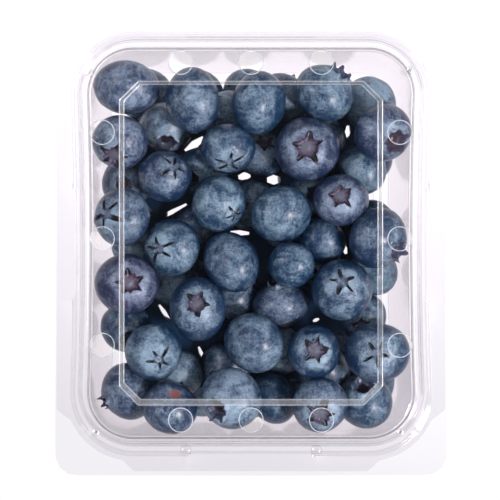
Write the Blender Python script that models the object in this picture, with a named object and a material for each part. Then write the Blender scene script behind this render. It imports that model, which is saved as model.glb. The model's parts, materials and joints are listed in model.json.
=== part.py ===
"""A clear hinged punnet of blueberries, in metres, +Z up.

The origin is on the ground under the middle of the pack. +X is the pack's right side and +Y points to the
hinge. The tray and the lid are thin thermoformed sheets, each made by carrying a loop of points through a
list of (outline, offset, height) stations. The berries are one heap, whose lumps come from settled spheres.
"""

import math

import bmesh
import bpy
import mathutils
import numpy as np

MM = 0.001

# Sheet and heights
SHEET = 0.5 * MM
TRAY_FLANGE_Z = 29.75 * MM
LID_FLANGE_Z = 30.55 * MM
LID_TOP_Z = 38.25 * MM
PANEL_DEPTH = 1.2 * MM
BEAD_RISE = 1.2 * MM
TRAY_BEAD_RISE = 1.1 * MM
FOOT_Z = 0.25 * MM
FOOT_RISE = 1.0 * MM
FOOT_WIDTH = 5.0 * MM

# Plan outlines: half width, front edge, back edge, corner radius
MOUTH = (41.2 * MM, -47.7 * MM, 50.8 * MM, 11.5 * MM)
FLOOR = (36.9 * MM, -43.4 * MM, 46.5 * MM, 8.5 * MM)
BEAD_IN = (43.3 * MM, -49.2 * MM, 53.1 * MM, 13.6 * MM)
BEAD_OUT = (45.6 * MM, -52.2 * MM, 55.0 * MM, 16.0 * MM)
PANEL = (33.4 * MM, -39.3 * MM, 42.4 * MM, 4.7 * MM)
SIDE_BOW = 0.7 * MM

# Flanges and hinge strip
FLANGE_HALF = 49.75 * MM
FLANGE_BACK = 52.6 * MM
LID_FRONT = -57.4 * MM
TRAY_FRONT = -56.4 * MM
FRONT_RADIUS = 5.1 * MM
BACK_RADIUS = 5.9 * MM
HINGE_HALF = 37.6 * MM
HINGE_Y = 57.4 * MM
HINGE_Z = 30.15 * MM
HINGE_GAP = 0.3 * MM
FLANGE = (FLANGE_HALF, LID_FRONT, FLANGE_BACK, FRONT_RADIUS)
LOBE_END = (39.6 * MM, 52.9 * MM)
STRIP_FOOT = (37.8 * MM, 54.5 * MM)
LID_TAB_X = 37.0 * MM
LID_TAB_Y = -44.0 * MM
TRAY_TAB = [(30.6 * MM, TRAY_FRONT), (31.4 * MM, -54.1 * MM)]
TRAY_TAB_Y = -40.8 * MM
NOTCH_OFFSET = 1.8 * MM
NOTCH_ANGLES = (-66, -24)

# Raised grips on the lid's rim, where the bead runs out to the edge
GRIP_BACK = 15.0 * MM
GRIP_FRONT = -12.4 * MM
GRIP_RAMP = 1.6 * MM
LATCH_HALF = 15.6 * MM
GRIP_INSIDE_X = 40.0 * MM
LATCH_INSIDE_Y = -50.0 * MM
SLACK = 0.01 * MM

# Sections of the two sheets, as (outline, offset, height) down the middle of the sheet
TRAY_SECTION = [
    (FLOOR, -FOOT_WIDTH, FOOT_Z + FOOT_RISE),
    (FLOOR, -FOOT_WIDTH + 0.6 * MM, FOOT_Z),
    (FLOOR, -1.6 * MM, FOOT_Z),
    (FLOOR, -0.45 * MM, FOOT_Z + 0.45 * MM),
    (FLOOR, 0.0, FOOT_Z + 1.65 * MM),
    (MOUTH, -0.25 * MM, TRAY_FLANGE_Z - 0.8 * MM),
    (MOUTH, 0.1 * MM, TRAY_FLANGE_Z - 0.2 * MM),
    (MOUTH, 0.8 * MM, TRAY_FLANGE_Z),
    (BEAD_IN, 0.3 * MM, TRAY_FLANGE_Z),
    (BEAD_IN, 0.7 * MM, TRAY_FLANGE_Z + TRAY_BEAD_RISE),
    (BEAD_OUT, -0.8 * MM, TRAY_FLANGE_Z + TRAY_BEAD_RISE),
    (BEAD_OUT, -0.4 * MM, TRAY_FLANGE_Z),
    (FLANGE, 0.0, TRAY_FLANGE_Z),
]
LID_SECTION = [
    (PANEL, -1.6 * MM, LID_TOP_Z - PANEL_DEPTH),
    (PANEL, 0.0, LID_TOP_Z),
    (MOUTH, -0.7 * MM, LID_TOP_Z),
    (MOUTH, -0.1 * MM, LID_TOP_Z - 0.3 * MM),
    (MOUTH, 0.1 * MM, LID_TOP_Z - 0.9 * MM),
    (MOUTH, 0.6 * MM, LID_FLANGE_Z + 0.4 * MM),
    (MOUTH, 0.9 * MM, LID_FLANGE_Z),
    (BEAD_IN, -0.3 * MM, LID_FLANGE_Z),
    (BEAD_IN, 0.1 * MM, LID_FLANGE_Z + BEAD_RISE),
    (BEAD_OUT, -0.2 * MM, LID_FLANGE_Z + BEAD_RISE),
    (BEAD_OUT, 0.3 * MM, LID_FLANGE_Z),
    (FLANGE, 0.0, LID_FLANGE_Z),
]

# Vents: rows of three along each side of the lid
VENT_RADIUS = 3.05 * MM
VENT_SIDES_X = 37.3 * MM
VENT_SIDES_Y = (29.6 * MM, 2.7 * MM, -24.2 * MM)
VENT_ENDS_X = (-17.8 * MM, 0.0, 17.8 * MM)
VENT_ENDS_Y = (47.3 * MM, -43.1 * MM)
VENT_STEPS = 18
PUNCH_DEPTH = 4.0 * MM

# How finely round stretches are drawn, and where the long sides have their points
CORNER_STEPS = 8
LOBE_STEPS = 3
TAB_STEPS = 4
SIDE_FRONT = -24.0 * MM
SIDE_BACK = 28.0 * MM
SMOOTH_ANGLE = 35

# Finishes: colour, roughness and alpha
CLEAR_SHEET = ((0.90, 0.93, 0.95), 0.08, 0.35)
BERRY_SKIN = ((0.06, 0.09, 0.16), 0.6, 1.0)
UNSEEN = ((0.8, 0.8, 0.8), 0.5, 1.0)

# Berries, in millimetres: x, y, width and rough level, row by row from the hinge to the front
TOP_BERRIES = [
    [(-31.8, 41.4, 15.3, 27), (-14.9, 38.0, 15.2, 28), (2.0, 37.3, 15.0, 28), (18.8, 39.8, 15.3, 28)],
    [(-33.3, 27.4, 14.2, 26), (-5.9, 25.8, 13.5, 27), (14.3, 25.6, 16.6, 28), (33.6, 29.7, 14.8, 28)],
    [(-21.9, 18.7, 13.5, 28), (-8.1, 11.6, 14.2, 28), (22.9, 12.6, 13.8, 28), (30.4, 37.5, 14.0, 20)],
    [(-32.8, 8.3, 14.6, 27), (7.6, 9.0, 15.4, 28), (32.3, 2.9, 15.4, 27), (-20.1, 0.6, 14.3, 28)],
    [(-5.1, -3.2, 15.0, 28), (10.2, -3.9, 11.8, 23), (-31.6, -8.8, 16.0, 27), (23.2, -10.3, 15.6, 28)],
    [(7.6, -13.9, 14.2, 27), (-13.5, -15.1, 15.4, 28), (0.8, -23.8, 15.4, 28), (-24.9, -26.1, 14.5, 28)],
    [(16.0, -26.1, 13.4, 28), (32.1, -26.3, 16.0, 28), (-5.1, -38.0, 15.8, 27), (17.6, -39.6, 14.2, 28)],
    [(-20.6, -40.3, 13.8, 27), (-31.5, -36.3, 14.8, 23), (18.1, 2.4, 12.4, 22)],
]
MIDDLE_BERRIES = [
    [(-21.9, 31.7, 13.5, 20), (8.6, 38.8, 12.8, 19), (24.0, 25.0, 13.0, 18), (-34.6, 15.9, 13.0, 19)],
    [(28.2, 20.7, 13.0, 19), (2.8, 25.3, 13.0, 18), (-14.0, 21.0, 13.2, 17), (1.5, 12.6, 13.4, 18)],
    [(30.3, -7.3, 12.6, 19), (32.6, 8.8, 12.8, 17), (-16.8, -7.8, 13.4, 18), (27.2, -18.5, 12.4, 19)],
    [(-31.6, -20.0, 13.2, 19), (-3.8, -12.9, 13.6, 18), (-18.1, -32.2, 13.0, 19), (-7.0, -27.5, 13.0, 17)],
    [(5.9, -36.8, 13.0, 20), (24.4, -32.7, 13.4, 20), (31.3, -37.3, 14.2, 19), (10.0, -23.5, 12.8, 17)],
    [(-5.5, 36.0, 13.0, 17), (-29.5, 30.0, 13.0, 14), (-28.0, 0.5, 13.0, 15), (16.0, -4.5, 13.0, 14)],
    [(14.0, 10.5, 13.0, 16), (-12.0, 2.5, 12.8, 15)],
]
SHAFTS = [(-13.7, 27.6), (-1.8, 19.0), (5.9, 18.2), (25.2, 30.2), (30.8, 13.6), (-20.6, 9.5),
          (-2.3, 4.5), (24.2, 0.4), (-22.4, -16.2), (-12.7, -26.1), (17.3, -18.2)]
SHAFT_RADIUS = 1.0

# The bottom layer, in millimetres: staggered rows over the floor
BOTTOM_ROWS = 6
BOTTOM_COLUMNS = 5
BOTTOM_HALF_X = 29.0
BOTTOM_FRONT = -36.0
BOTTOM_BACK = 39.0
BOTTOM_LEVEL = 8.5
BOTTOM_WIDTH = 13.6
BOTTOM_SPREAD = 1.0

# Settling, in millimetres and shares
SEED = 0
SETTLE_STEPS = 1500
FALL = 0.03
SQUEEZE = 0.97
HOLD_UNTIL = 0.8
HOLD_PLAN = (0.5, 0.12, 0.0)
HOLD_LEVEL = (0.03, 0.01, 0.0)
PUSH_APART = 0.3
PUSH_ASIDE = 0.5
NOT_ITSELF = 1000.0
TINY = 1e-6
WALL_GAP = 0.9
REST_Z = 2.05
CEILING_Z = 36.2
WALL_FOOT = 1.9
WALL_TOP = 29.0
WALL_OVERRUN = 1.05

# The heap as one solid
CORE_INSET = 4.5 * MM
CORE_TOP_INSET = 6.5 * MM
CORE_BOTTOM_Z = 1.85 * MM
CORE_KNEE_Z = 5.85 * MM
CORE_TOP_Z = 21.0 * MM
BALL_SUBDIVISIONS = 3
FUSE_SIZE = 1.3 * MM
HEAP_TRIANGLES = 3000


def arc(cx, cy, radius, start, end, steps):
    """Points along an arc, angles in degrees."""
    turns = [math.radians(start + (end - start) * i / steps) for i in range(steps + 1)]
    return [(cx + radius * math.cos(a), cy + radius * math.sin(a)) for a in turns]


def grown(outline, offset):
    """The outline moved outwards by an offset, with its corners kept concentric."""
    half, front, back, radius = outline
    return half + offset, front - offset, back + offset, radius + offset


def rounded_corners(outline):
    """Front and back corner on the right, as quarter circles."""
    half, front, back, radius = outline
    return (arc(half - radius, front + radius, radius, -90, 0, CORNER_STEPS),
            arc(half - radius, back - radius, radius, 0, 90, CORNER_STEPS))


def chamfered_corners(outline, offset):
    """Front and back corner on the right, each cut off at 45 degrees, moved outwards by an offset."""
    half, front, back, cut = outline
    half, front, back = half + offset, front - offset, back + offset
    cut += offset * (2 - math.sqrt(2))
    shares = [i / CORNER_STEPS for i in range(CORNER_STEPS + 1)]
    return ([(half - cut + cut * t, front + cut * t) for t in shares],
            [(half - cut * t, back - cut + cut * t) for t in shares])


def flange_back_corner(inset):
    """From the side: the rounded back end of the side flange, a step onto the bead, then the hinge strip."""
    half, _, back, radius = BEAD_OUT
    side = FLANGE_HALF - inset
    lobe = arc(side - BACK_RADIUS, FLANGE_BACK - BACK_RADIUS, BACK_RADIUS, 0, 90, LOBE_STEPS)
    strip = [(HINGE_HALF, HINGE_Y - inset), (half - radius, HINGE_Y - inset)]
    return [(side, back - radius)] + lobe + [LOBE_END, STRIP_FOOT] + strip


def lid_front_corner():
    """The lid's finger tab: a rounded square corner."""
    half, front, _, radius = BEAD_OUT
    tab = arc(FLANGE_HALF - FRONT_RADIUS, LID_FRONT + FRONT_RADIUS, FRONT_RADIUS, -90, 0, TAB_STEPS)
    return ([(half - radius, LID_FRONT), (LID_TAB_X, LID_FRONT)] + tab
            + [(FLANGE_HALF, LID_TAB_Y), (FLANGE_HALF, front + radius)])


def tray_front_corner():
    """The tray's flange, cut back to the bead so that a finger reaches the lid's tab."""
    half, front, _, radius = BEAD_OUT
    notch = arc(half - radius, front + radius, radius + NOTCH_OFFSET, *NOTCH_ANGLES, TAB_STEPS)
    return ([(half - radius, TRAY_FRONT)] + TRAY_TAB + notch
            + [(FLANGE_HALF - HINGE_GAP, TRAY_TAB_Y)])


def side_stops(start, end):
    """Heights up the long side where a loop has its points: a spread, and both ends of each grip ramp."""
    marks = [SIDE_FRONT, GRIP_FRONT - GRIP_RAMP, GRIP_FRONT, GRIP_BACK, GRIP_BACK + GRIP_RAMP, SIDE_BACK]
    return [y for y in marks if start < y < end]


def loop(corners, bow=0.0):
    """One closed loop of points, mirrored left to right; the long sides bow inwards by a given depth."""
    front, back = corners
    x0, y0 = front[-1]
    x1, y1 = back[0]
    side = []
    for y in side_stops(y0, y1):
        t = (y - y0) / (y1 - y0)
        side.append((x0 + (x1 - x0) * t - bow * 4 * t * (1 - t), y))
    right = front + side + back
    left = [(-x, y) for x, y in reversed(right)]
    ramp_ends = [LATCH_HALF + GRIP_RAMP, LATCH_HALF, -LATCH_HALF, -LATCH_HALF - GRIP_RAMP]
    back_side = [(x, back[-1][1]) for x in ramp_ends]
    front_side = [(-x, front[0][1]) for x in ramp_ends]
    return right + back_side + left + front_side


def moved_out(stations, distance):
    """Shift a section of (outline, offset, height) stations sideways by a distance, mitred at its corners."""
    across = [outline[0] + offset for outline, offset, _ in stations]
    heights = [height for _, _, height in stations]
    last = len(stations) - 1
    result = []
    for i, (outline, offset, height) in enumerate(stations):
        normals = []
        for a, b in ((max(i - 1, 0), max(i, 1)), (min(i, last - 1), min(i + 1, last))):
            dx, dz = across[b] - across[a], heights[b] - heights[a]
            length = math.hypot(dx, dz)
            normals.append((-dz / length, dx / length))
        nx, nz = normals[0][0] + normals[1][0], normals[0][1] + normals[1][1]
        scale = 2 * distance / (nx * nx + nz * nz)
        result.append((outline, offset + nx * scale, height + nz * scale))
    return result


def ring(station, flange_corners, lift):
    """The 3D loop of one station of a sheet."""
    outline, offset, height = station
    if outline == FLANGE:
        points = loop(flange_corners)
    elif outline == PANEL:
        points = loop(chamfered_corners(PANEL, offset))
    else:
        points = loop(rounded_corners(grown(outline, offset)), SIDE_BOW)
    on_rim = outline == FLANGE or (outline == BEAD_OUT and offset > 0)
    return [(x, y, height + (lift(x, y) if on_rim else 0.0)) for x, y in points]


def grip_lift(x, y):
    """How far the lid's rim is raised: the grips at mid-side, and the latch in the middle of the front."""
    if abs(x) > GRIP_INSIDE_X and GRIP_FRONT - SLACK < y < GRIP_BACK + SLACK:
        return BEAD_RISE
    if y < LATCH_INSIDE_Y and abs(x) < LATCH_HALF + SLACK:
        return BEAD_RISE
    return 0.0


def no_lift(x, y):
    return 0.0


def new_object(name, bm, finish):
    """Make an object of a bmesh, with its own plain material."""
    colour, roughness, alpha = finish
    bmesh.ops.recalc_face_normals(bm, faces=bm.faces)
    mesh = bpy.data.meshes.new(name)
    bm.to_mesh(mesh)
    bm.free()
    obj = bpy.data.objects.new(name, mesh)
    bpy.context.scene.collection.objects.link(obj)
    material = bpy.data.materials.new(name)
    material.use_nodes = True
    shader = material.node_tree.nodes["Principled BSDF"]
    shader.inputs["Base Color"].default_value = (*colour, 1.0)
    shader.inputs["Roughness"].default_value = roughness
    shader.inputs["Metallic"].default_value = 0.0
    shader.inputs["Alpha"].default_value = alpha
    mesh.materials.append(material)
    return obj


def skin(bm, rings):
    """Join successive loops with quads, and close both ends."""
    rows = [[bm.verts.new(point) for point in points] for points in rings]
    for below, above in zip(rows, rows[1:]):
        for i in range(len(below)):
            j = (i + 1) % len(below)
            bm.faces.new((below[i], below[j], above[j], above[i]))
    bm.faces.new(rows[0])
    bm.faces.new(rows[-1])


def sheet(name, stations, flange_corners, lift):
    """A thin shell: out along the top of its section, round the edge, and back along the underside."""
    upper = moved_out(stations, SHEET / 2)
    lower = moved_out(stations, -SHEET / 2)
    bm = bmesh.new()
    skin(bm, [ring(station, flange_corners, lift) for station in upper + lower[::-1]])
    return new_object(name, bm, CLEAR_SHEET)


def make_tray():
    """Foot ring, drafted wall, rounded mouth, low bead and flange."""
    return sheet("tray", TRAY_SECTION, (tray_front_corner(), flange_back_corner(HINGE_GAP)), no_lift)


def make_lid():
    """Sunk panel, shelf, dome wall, bead and flange, with twelve round vents punched through the shelf."""
    lid = sheet("lid", LID_SECTION, (lid_front_corner(), flange_back_corner(0.0)), grip_lift)
    places = [(side * VENT_SIDES_X, y) for side in (-1, 1) for y in VENT_SIDES_Y]
    places += [(x, y) for y in VENT_ENDS_Y for x in VENT_ENDS_X]
    bm = bmesh.new()
    for x, y in places:
        punch = bmesh.ops.create_cone(bm, cap_ends=True, segments=VENT_STEPS, radius1=VENT_RADIUS,
                                      radius2=VENT_RADIUS, depth=PUNCH_DEPTH)
        bmesh.ops.translate(bm, verts=punch["verts"], vec=(x, y, LID_TOP_Z))
    punches = new_object("vent_punches", bm, UNSEEN)
    punches.hide_render = True
    punches.display_type = "WIRE"
    cut = lid.modifiers.new("vents", "BOOLEAN")
    cut.operation = "DIFFERENCE"
    cut.object = punches
    return lid


def scattered(rng):
    """Rough places for the bottom layer: staggered rows over the floor, with uneven widths."""
    spots = []
    for row in range(BOTTOM_ROWS):
        count = BOTTOM_COLUMNS - row % 2
        for column in range(count):
            x = BOTTOM_HALF_X * (2 * column - count + 1) / (BOTTOM_COLUMNS - 1)
            y = BOTTOM_FRONT + (BOTTOM_BACK - BOTTOM_FRONT) * row / (BOTTOM_ROWS - 1)
            spots.append((x, y, BOTTOM_WIDTH + BOTTOM_SPREAD * rng.uniform(-1.0, 1.0), BOTTOM_LEVEL))
    return spots


def push_inside(centre, radius):
    """Move spheres inside the tray's drafted, round-cornered wall and between its floor and the lid."""
    share = np.clip((centre[:, 2] - WALL_FOOT) / (WALL_TOP - WALL_FOOT), 0.0, WALL_OVERRUN)
    half, front, back, corner = [(a + share * (b - a)) / MM for a, b in zip(FLOOR, MOUTH)]
    middle = (front + back) / 2
    straight = (back - front) / 2 - corner
    bow = SIDE_BOW / MM * np.clip(1.0 - ((centre[:, 1] - middle) / straight) ** 2, 0.0, 1.0)
    beyond_x = np.clip(np.abs(centre[:, 0]) - (half - bow - WALL_GAP - corner), 0.0, None)
    beyond_y = np.clip(np.abs(centre[:, 1] - middle) - (straight - WALL_GAP), 0.0, None)
    reach = np.hypot(beyond_x, beyond_y) + TINY
    excess = np.clip(reach - (corner - radius), 0.0, None) / reach
    centre[:, 0] -= np.sign(centre[:, 0]) * beyond_x * excess
    centre[:, 1] -= np.sign(centre[:, 1] - middle) * beyond_y * excess
    centre[:, 2] = np.clip(centre[:, 2], REST_Z + radius, CEILING_Z - radius)


def settle():
    """Let the berries fall and push each other apart; returns their centres and radii in millimetres.

    Berries on top are held near their places, those below more loosely. Every berry under the top layer
    keeps off the shafts, the narrow chinks that go right down through the heap.
    """
    rng = np.random.default_rng(SEED)
    top = [spot for row in TOP_BERRIES for spot in row]
    middle = [spot for row in MIDDLE_BERRIES for spot in row]
    bottom = scattered(rng)
    spots = np.array(top + middle + bottom)
    home = spots[:, :2].copy()
    level = spots[:, 3].copy()
    centre = np.column_stack((home, level))
    radius = spots[:, 2] / 2 * SQUEEZE
    sizes = (len(top), len(middle), len(bottom))
    hold = np.repeat(HOLD_PLAN, sizes)[:, None]
    hold_level = np.repeat(HOLD_LEVEL, sizes)
    below = np.repeat((0.0, 1.0, 1.0), sizes)[:, None]
    shafts = np.array(SHAFTS)
    far = np.eye(len(spots)) * NOT_ITSELF
    for step in range(SETTLE_STEPS):
        if step < SETTLE_STEPS * HOLD_UNTIL:
            centre[:, 2] += hold_level * (level - centre[:, 2]) - FALL
            centre[:, :2] += hold * (home - centre[:, :2])
        apart = centre[:, None] - centre[None]
        distance = np.linalg.norm(apart, axis=2) + far
        overlap = np.clip(radius[:, None] + radius[None] - distance, 0.0, None)
        centre += PUSH_APART * (apart * (overlap / distance)[..., None]).sum(axis=1)
        aside = centre[:, None, :2] - shafts[None]
        gap = np.linalg.norm(aside, axis=2) + TINY
        need = np.clip(radius[:, None] + SHAFT_RADIUS - gap, 0.0, None) * below
        centre[:, :2] += PUSH_ASIDE * (aside * (need / gap)[..., None]).sum(axis=1)
        push_inside(centre, radius)
    return centre, radius / SQUEEZE


def largest_shell(mesh):
    """Keep only the biggest connected body of a mesh, its outer skin."""
    bm = bmesh.new()
    bm.from_mesh(mesh)
    seen = set()
    shells = []
    for start in bm.faces:
        if start.index in seen:
            continue
        shell = [start]
        seen.add(start.index)
        for face in shell:
            for edge in face.edges:
                for other in edge.link_faces:
                    if other.index not in seen:
                        seen.add(other.index)
                        shell.append(other)
        shells.append(shell)
    biggest = max(shells, key=len)
    spare = [face for shell in shells if shell is not biggest for face in shell]
    bmesh.ops.delete(bm, geom=spare, context="FACES")
    return bm


def make_blueberries():
    """The heap: settled spheres and a core fused into one lumpy solid."""
    centre, radius = settle()
    bm = bmesh.new()
    core = [(FLOOR, -CORE_INSET, CORE_BOTTOM_Z), (FLOOR, -CORE_INSET, CORE_KNEE_Z),
            (MOUTH, -CORE_TOP_INSET, CORE_TOP_Z)]
    skin(bm, [ring(station, None, no_lift) for station in core])
    for place, size in zip(centre, radius):
        ball = bmesh.ops.create_icosphere(bm, subdivisions=BALL_SUBDIVISIONS, radius=size * MM)
        bmesh.ops.translate(bm, verts=ball["verts"], vec=[value * MM for value in place])
    rough = new_object("rough_heap", bm, UNSEEN)
    remesh = rough.modifiers.new("fuse", "REMESH")
    remesh.mode = "VOXEL"
    remesh.voxel_size = FUSE_SIZE
    fused = bpy.data.meshes.new_from_object(rough.evaluated_get(bpy.context.evaluated_depsgraph_get()))
    bpy.data.objects.remove(rough)
    heap = new_object("blueberries", largest_shell(fused), BERRY_SKIN)
    thin = heap.modifiers.new("fewer_faces", "DECIMATE")
    thin.ratio = HEAP_TRIANGLES / (2 * len(heap.data.polygons))
    return heap


def main():
    for obj in list(bpy.data.objects):
        bpy.data.objects.remove(obj)
    tray = make_tray()
    heap = make_blueberries()
    heap.parent = tray
    lid = make_lid()
    hinge = bpy.data.objects.new("lid_hinge", None)
    hinge.location = (0.0, HINGE_Y, HINGE_Z)
    bpy.context.scene.collection.objects.link(hinge)
    lid.parent = hinge
    lid.matrix_parent_inverse = mathutils.Matrix.Translation(hinge.location).inverted()
    for obj in (tray, lid, heap):
        obj.data.shade_smooth()
        obj.data.set_sharp_from_angle(angle=math.radians(SMOOTH_ANGLE))


main()
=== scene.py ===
# %% [markdown]
# # A clear punnet of blueberries
#
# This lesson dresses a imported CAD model. The CAD gives three solids in a fixed frame: a tray, a lid on a
# hinge and one lumpy heap. Here the two plastic solids become thin formed sheets with fillets, vents and cut
# edges, and the heap becomes loose berries, each with its own crown and its own coat of wax.

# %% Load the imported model
import json
import math

import bmesh
import bpy
import numpy as np
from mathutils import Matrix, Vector


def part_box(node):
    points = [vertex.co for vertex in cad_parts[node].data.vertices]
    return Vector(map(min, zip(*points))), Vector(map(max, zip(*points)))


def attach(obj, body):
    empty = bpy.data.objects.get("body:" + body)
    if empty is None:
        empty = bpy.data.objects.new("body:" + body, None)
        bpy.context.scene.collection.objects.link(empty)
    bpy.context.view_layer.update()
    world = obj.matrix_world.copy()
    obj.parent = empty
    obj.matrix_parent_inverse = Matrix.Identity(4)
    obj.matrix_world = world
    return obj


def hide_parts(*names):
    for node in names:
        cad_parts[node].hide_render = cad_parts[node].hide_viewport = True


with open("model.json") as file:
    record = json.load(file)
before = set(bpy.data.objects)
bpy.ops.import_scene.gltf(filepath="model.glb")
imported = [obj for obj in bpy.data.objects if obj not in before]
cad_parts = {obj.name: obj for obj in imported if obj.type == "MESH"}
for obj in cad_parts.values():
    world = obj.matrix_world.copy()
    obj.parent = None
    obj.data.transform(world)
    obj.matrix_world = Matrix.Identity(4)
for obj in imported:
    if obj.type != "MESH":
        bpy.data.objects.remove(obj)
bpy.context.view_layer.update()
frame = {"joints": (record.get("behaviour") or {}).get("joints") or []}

MM = 0.001

# %% [markdown]
# ## Small tools
#
# Blender's operators act on whatever is selected, and loading leaves the CAD nodes selected. So every step
# starts by clearing the selection. Colours are written as sRGB hex, the way a colour picker shows them, and
# one function turns them into the linear values that shaders use.

# %% Selecting, editing and finishing
def select_only(*objects):
    """Select these objects alone and make the first one active."""
    bpy.ops.object.select_all(action="DESELECT")
    for obj in objects:
        obj.select_set(True)
    bpy.context.view_layer.objects.active = objects[0]


def new_piece(name):
    """Name the object that an operator has just added, and leave it alone selected."""
    obj = bpy.context.object
    obj.name = name
    obj.data.name = name
    select_only(obj)
    return obj


def settle_in_place(obj):
    """Put the object's place, turn and scale into its mesh, so that it sits at the origin."""
    select_only(obj)
    bpy.ops.object.transform_apply(location=True, rotation=True, scale=True)


def apply_modifiers(obj):
    """Make a piece's modifiers part of its mesh, in their order."""
    select_only(obj)
    for modifier in list(obj.modifiers):
        bpy.ops.object.modifier_apply(modifier=modifier.name)


def join(name, objects):
    """Join several objects into one named piece."""
    select_only(*objects)
    bpy.ops.object.join()
    return new_piece(name)


# %% Colours and nodes
def linear(hex_colour):
    """An sRGB hex colour as linear red, green, blue and alpha."""
    parts = [int(hex_colour[i:i + 2], 16) / 255 for i in (1, 3, 5)]
    return [c / 12.92 if c <= 0.04045 else ((c + 0.055) / 1.055) ** 2.4 for c in parts] + [1.0]


def new_material(name):
    """An empty node material, and its output node."""
    material = bpy.data.materials.new(name)
    material.use_nodes = True
    material.node_tree.nodes.clear()
    return material, material.node_tree.nodes.new("ShaderNodeOutputMaterial")


def add_node(tree, kind, settings=None, **links):
    """Add a node with its settings. Links are sockets or values for its inputs, by name or as _number."""
    node = tree.nodes.new(kind)
    for key, value in (settings or {}).items():
        setattr(node, key, value)
    for key, value in links.items():
        wanted = key.replace("_", " ")
        socket = node.inputs[int(key[1:])] if key[1:].isdigit() else node.inputs[wanted]
        if isinstance(value, bpy.types.NodeSocket):
            tree.links.new(value, socket)
        else:
            socket.default_value = value
    return node


def add_ramp(tree, fac, stops):
    """A colour ramp through (place, hex colour) stops."""
    node = add_node(tree, "ShaderNodeValToRGB", Fac=fac)
    elements = node.color_ramp.elements
    while len(elements) < len(stops):
        elements.new(0.5)
    for element, (place, colour) in zip(elements, stops):
        element.position = place
        element.color = linear(colour)
    return node.outputs["Color"]


# %% [markdown]
# ## Sizes of the pack
#
# The pack is drawn by plan outlines, one for each bend of the sheet, and by heights. Whatever the CAD model
# states is read from it: the flange's width and length, the top of the dome and the hinge line. The rest are
# the driving sizes that the solids were made from; only the panel's sides and the side vents are set a fifth
# and a third of a millimetre off, to where the real ones are. Real clear packs are formed from sheet of 0.3
# to 0.4 mm, so the sheet here is thinner than the solids' and lies in the middle of theirs.

# %% Sheet and heights
CAD_SHEET = 0.5 * MM
SHEET = 0.36 * MM
lid_low, lid_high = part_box("lid")
tray_low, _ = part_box("tray")
hinge = Vector(frame["joints"][0]["pos_m"])
FLANGE_OFF_HINGE = 0.4 * MM
TRAY_FLANGE_Z = hinge.z - FLANGE_OFF_HINGE
LID_FLANGE_Z = hinge.z + FLANGE_OFF_HINGE
LID_TOP_Z = lid_high.z - CAD_SHEET / 2
PANEL_DEPTH = 1.2 * MM
BEAD_RISE = 1.2 * MM
TRAY_BEAD_RISE = 1.1 * MM
FOOT_Z = tray_low.z + CAD_SHEET / 2
FOOT_RISE = 1.0 * MM
FOOT_WIDTH = 5.0 * MM
print("lid", [round(v / MM, 2) for v in (*lid_low, *lid_high)])

# %% Plan outlines
# half width, front edge, back edge, corner radius
MOUTH = (41.2 * MM, -47.7 * MM, 50.8 * MM, 11.5 * MM)
FLOOR = (36.9 * MM, -43.4 * MM, 46.5 * MM, 8.5 * MM)
BEAD_IN = (43.3 * MM, -49.2 * MM, 53.1 * MM, 13.6 * MM)
BEAD_OUT = (45.6 * MM, -52.2 * MM, 55.0 * MM, 16.0 * MM)
PANEL = (33.2 * MM, -39.3 * MM, 42.4 * MM, 4.7 * MM)
PANEL_FLOOR = (32.2 * MM, -38.0 * MM, 41.9 * MM, 4.3 * MM)
FLANGE_HALF = lid_high.x
FLANGE_BACK = 52.6 * MM
LID_FRONT = lid_low.y
TRAY_FRONT = tray_low.y
FRONT_RADIUS = 5.1 * MM
FLANGE = (FLANGE_HALF, LID_FRONT, FLANGE_BACK, FRONT_RADIUS)
print("flange:", round(2 * FLANGE_HALF / MM, 1), "mm wide")

# %% [markdown]
# ## Outlines
#
# Each bend of a formed sheet follows a rounded rectangle. Carrying one closed loop of points from outline to
# outline, always with the same number of points, lets every loop be extruded from the one before it. So each
# corner, whatever its shape, has the same number of points as the others.

# %% Corners of the outlines
CORNER_STEPS = 14


def arc(cx, cy, radius, start, end, steps):
    """Points along an arc, angles in degrees."""
    turns = [math.radians(start + (end - start) * i / steps) for i in range(steps + 1)]
    return [(cx + radius * math.cos(a), cy + radius * math.sin(a)) for a in turns]


def grown(outline, offset):
    """The outline moved outwards by an offset, with its corners kept concentric."""
    half, front, back, radius = outline
    return half + offset, front - offset, back + offset, radius + offset


def rounded_corners(outline):
    """Front and back corner on the right, as quarter circles."""
    half, front, back, radius = outline
    return (arc(half - radius, front + radius, radius, -90, 0, CORNER_STEPS),
            arc(half - radius, back - radius, radius, 0, 90, CORNER_STEPS))


def chamfered_corners(outline, offset):
    """Front and back corner on the right, each cut off at 45 degrees, moved outwards by an offset."""
    half, front, back, cut = outline
    half, front, back = half + offset, front - offset, back + offset
    cut += offset * (2 - math.sqrt(2))
    shares = [i / CORNER_STEPS for i in range(CORNER_STEPS + 1)]
    return ([(half - cut + cut * t, front + cut * t) for t in shares],
            [(half - cut * t, back - cut + cut * t) for t in shares])


# %% [markdown]
# The flange has corners of its own. At the back its side runs out in a rounded lobe, then steps in to the
# strip along the hinge. At the front the lid has a finger tab, and the tray's flange is cut back to the bead,
# so that a finger reaches the tab.

# %% Corners of the flange
BACK_RADIUS = 5.9 * MM
LOBE_END = (39.6 * MM, 52.9 * MM)
STRIP_FOOT = (37.8 * MM, 54.5 * MM)
HINGE_HALF = 37.6 * MM
HINGE_GAP = 0.3 * MM
LID_TAB_X = 37.0 * MM
LID_TAB_Y = -44.0 * MM
TRAY_TAB = [(30.6 * MM, TRAY_FRONT), (31.4 * MM, -54.1 * MM)]
TRAY_TAB_Y = -40.8 * MM
NOTCH_OFFSET = 1.8 * MM
NOTCH_ANGLES = (-66, -24)
TAB_STEPS = 6


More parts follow.
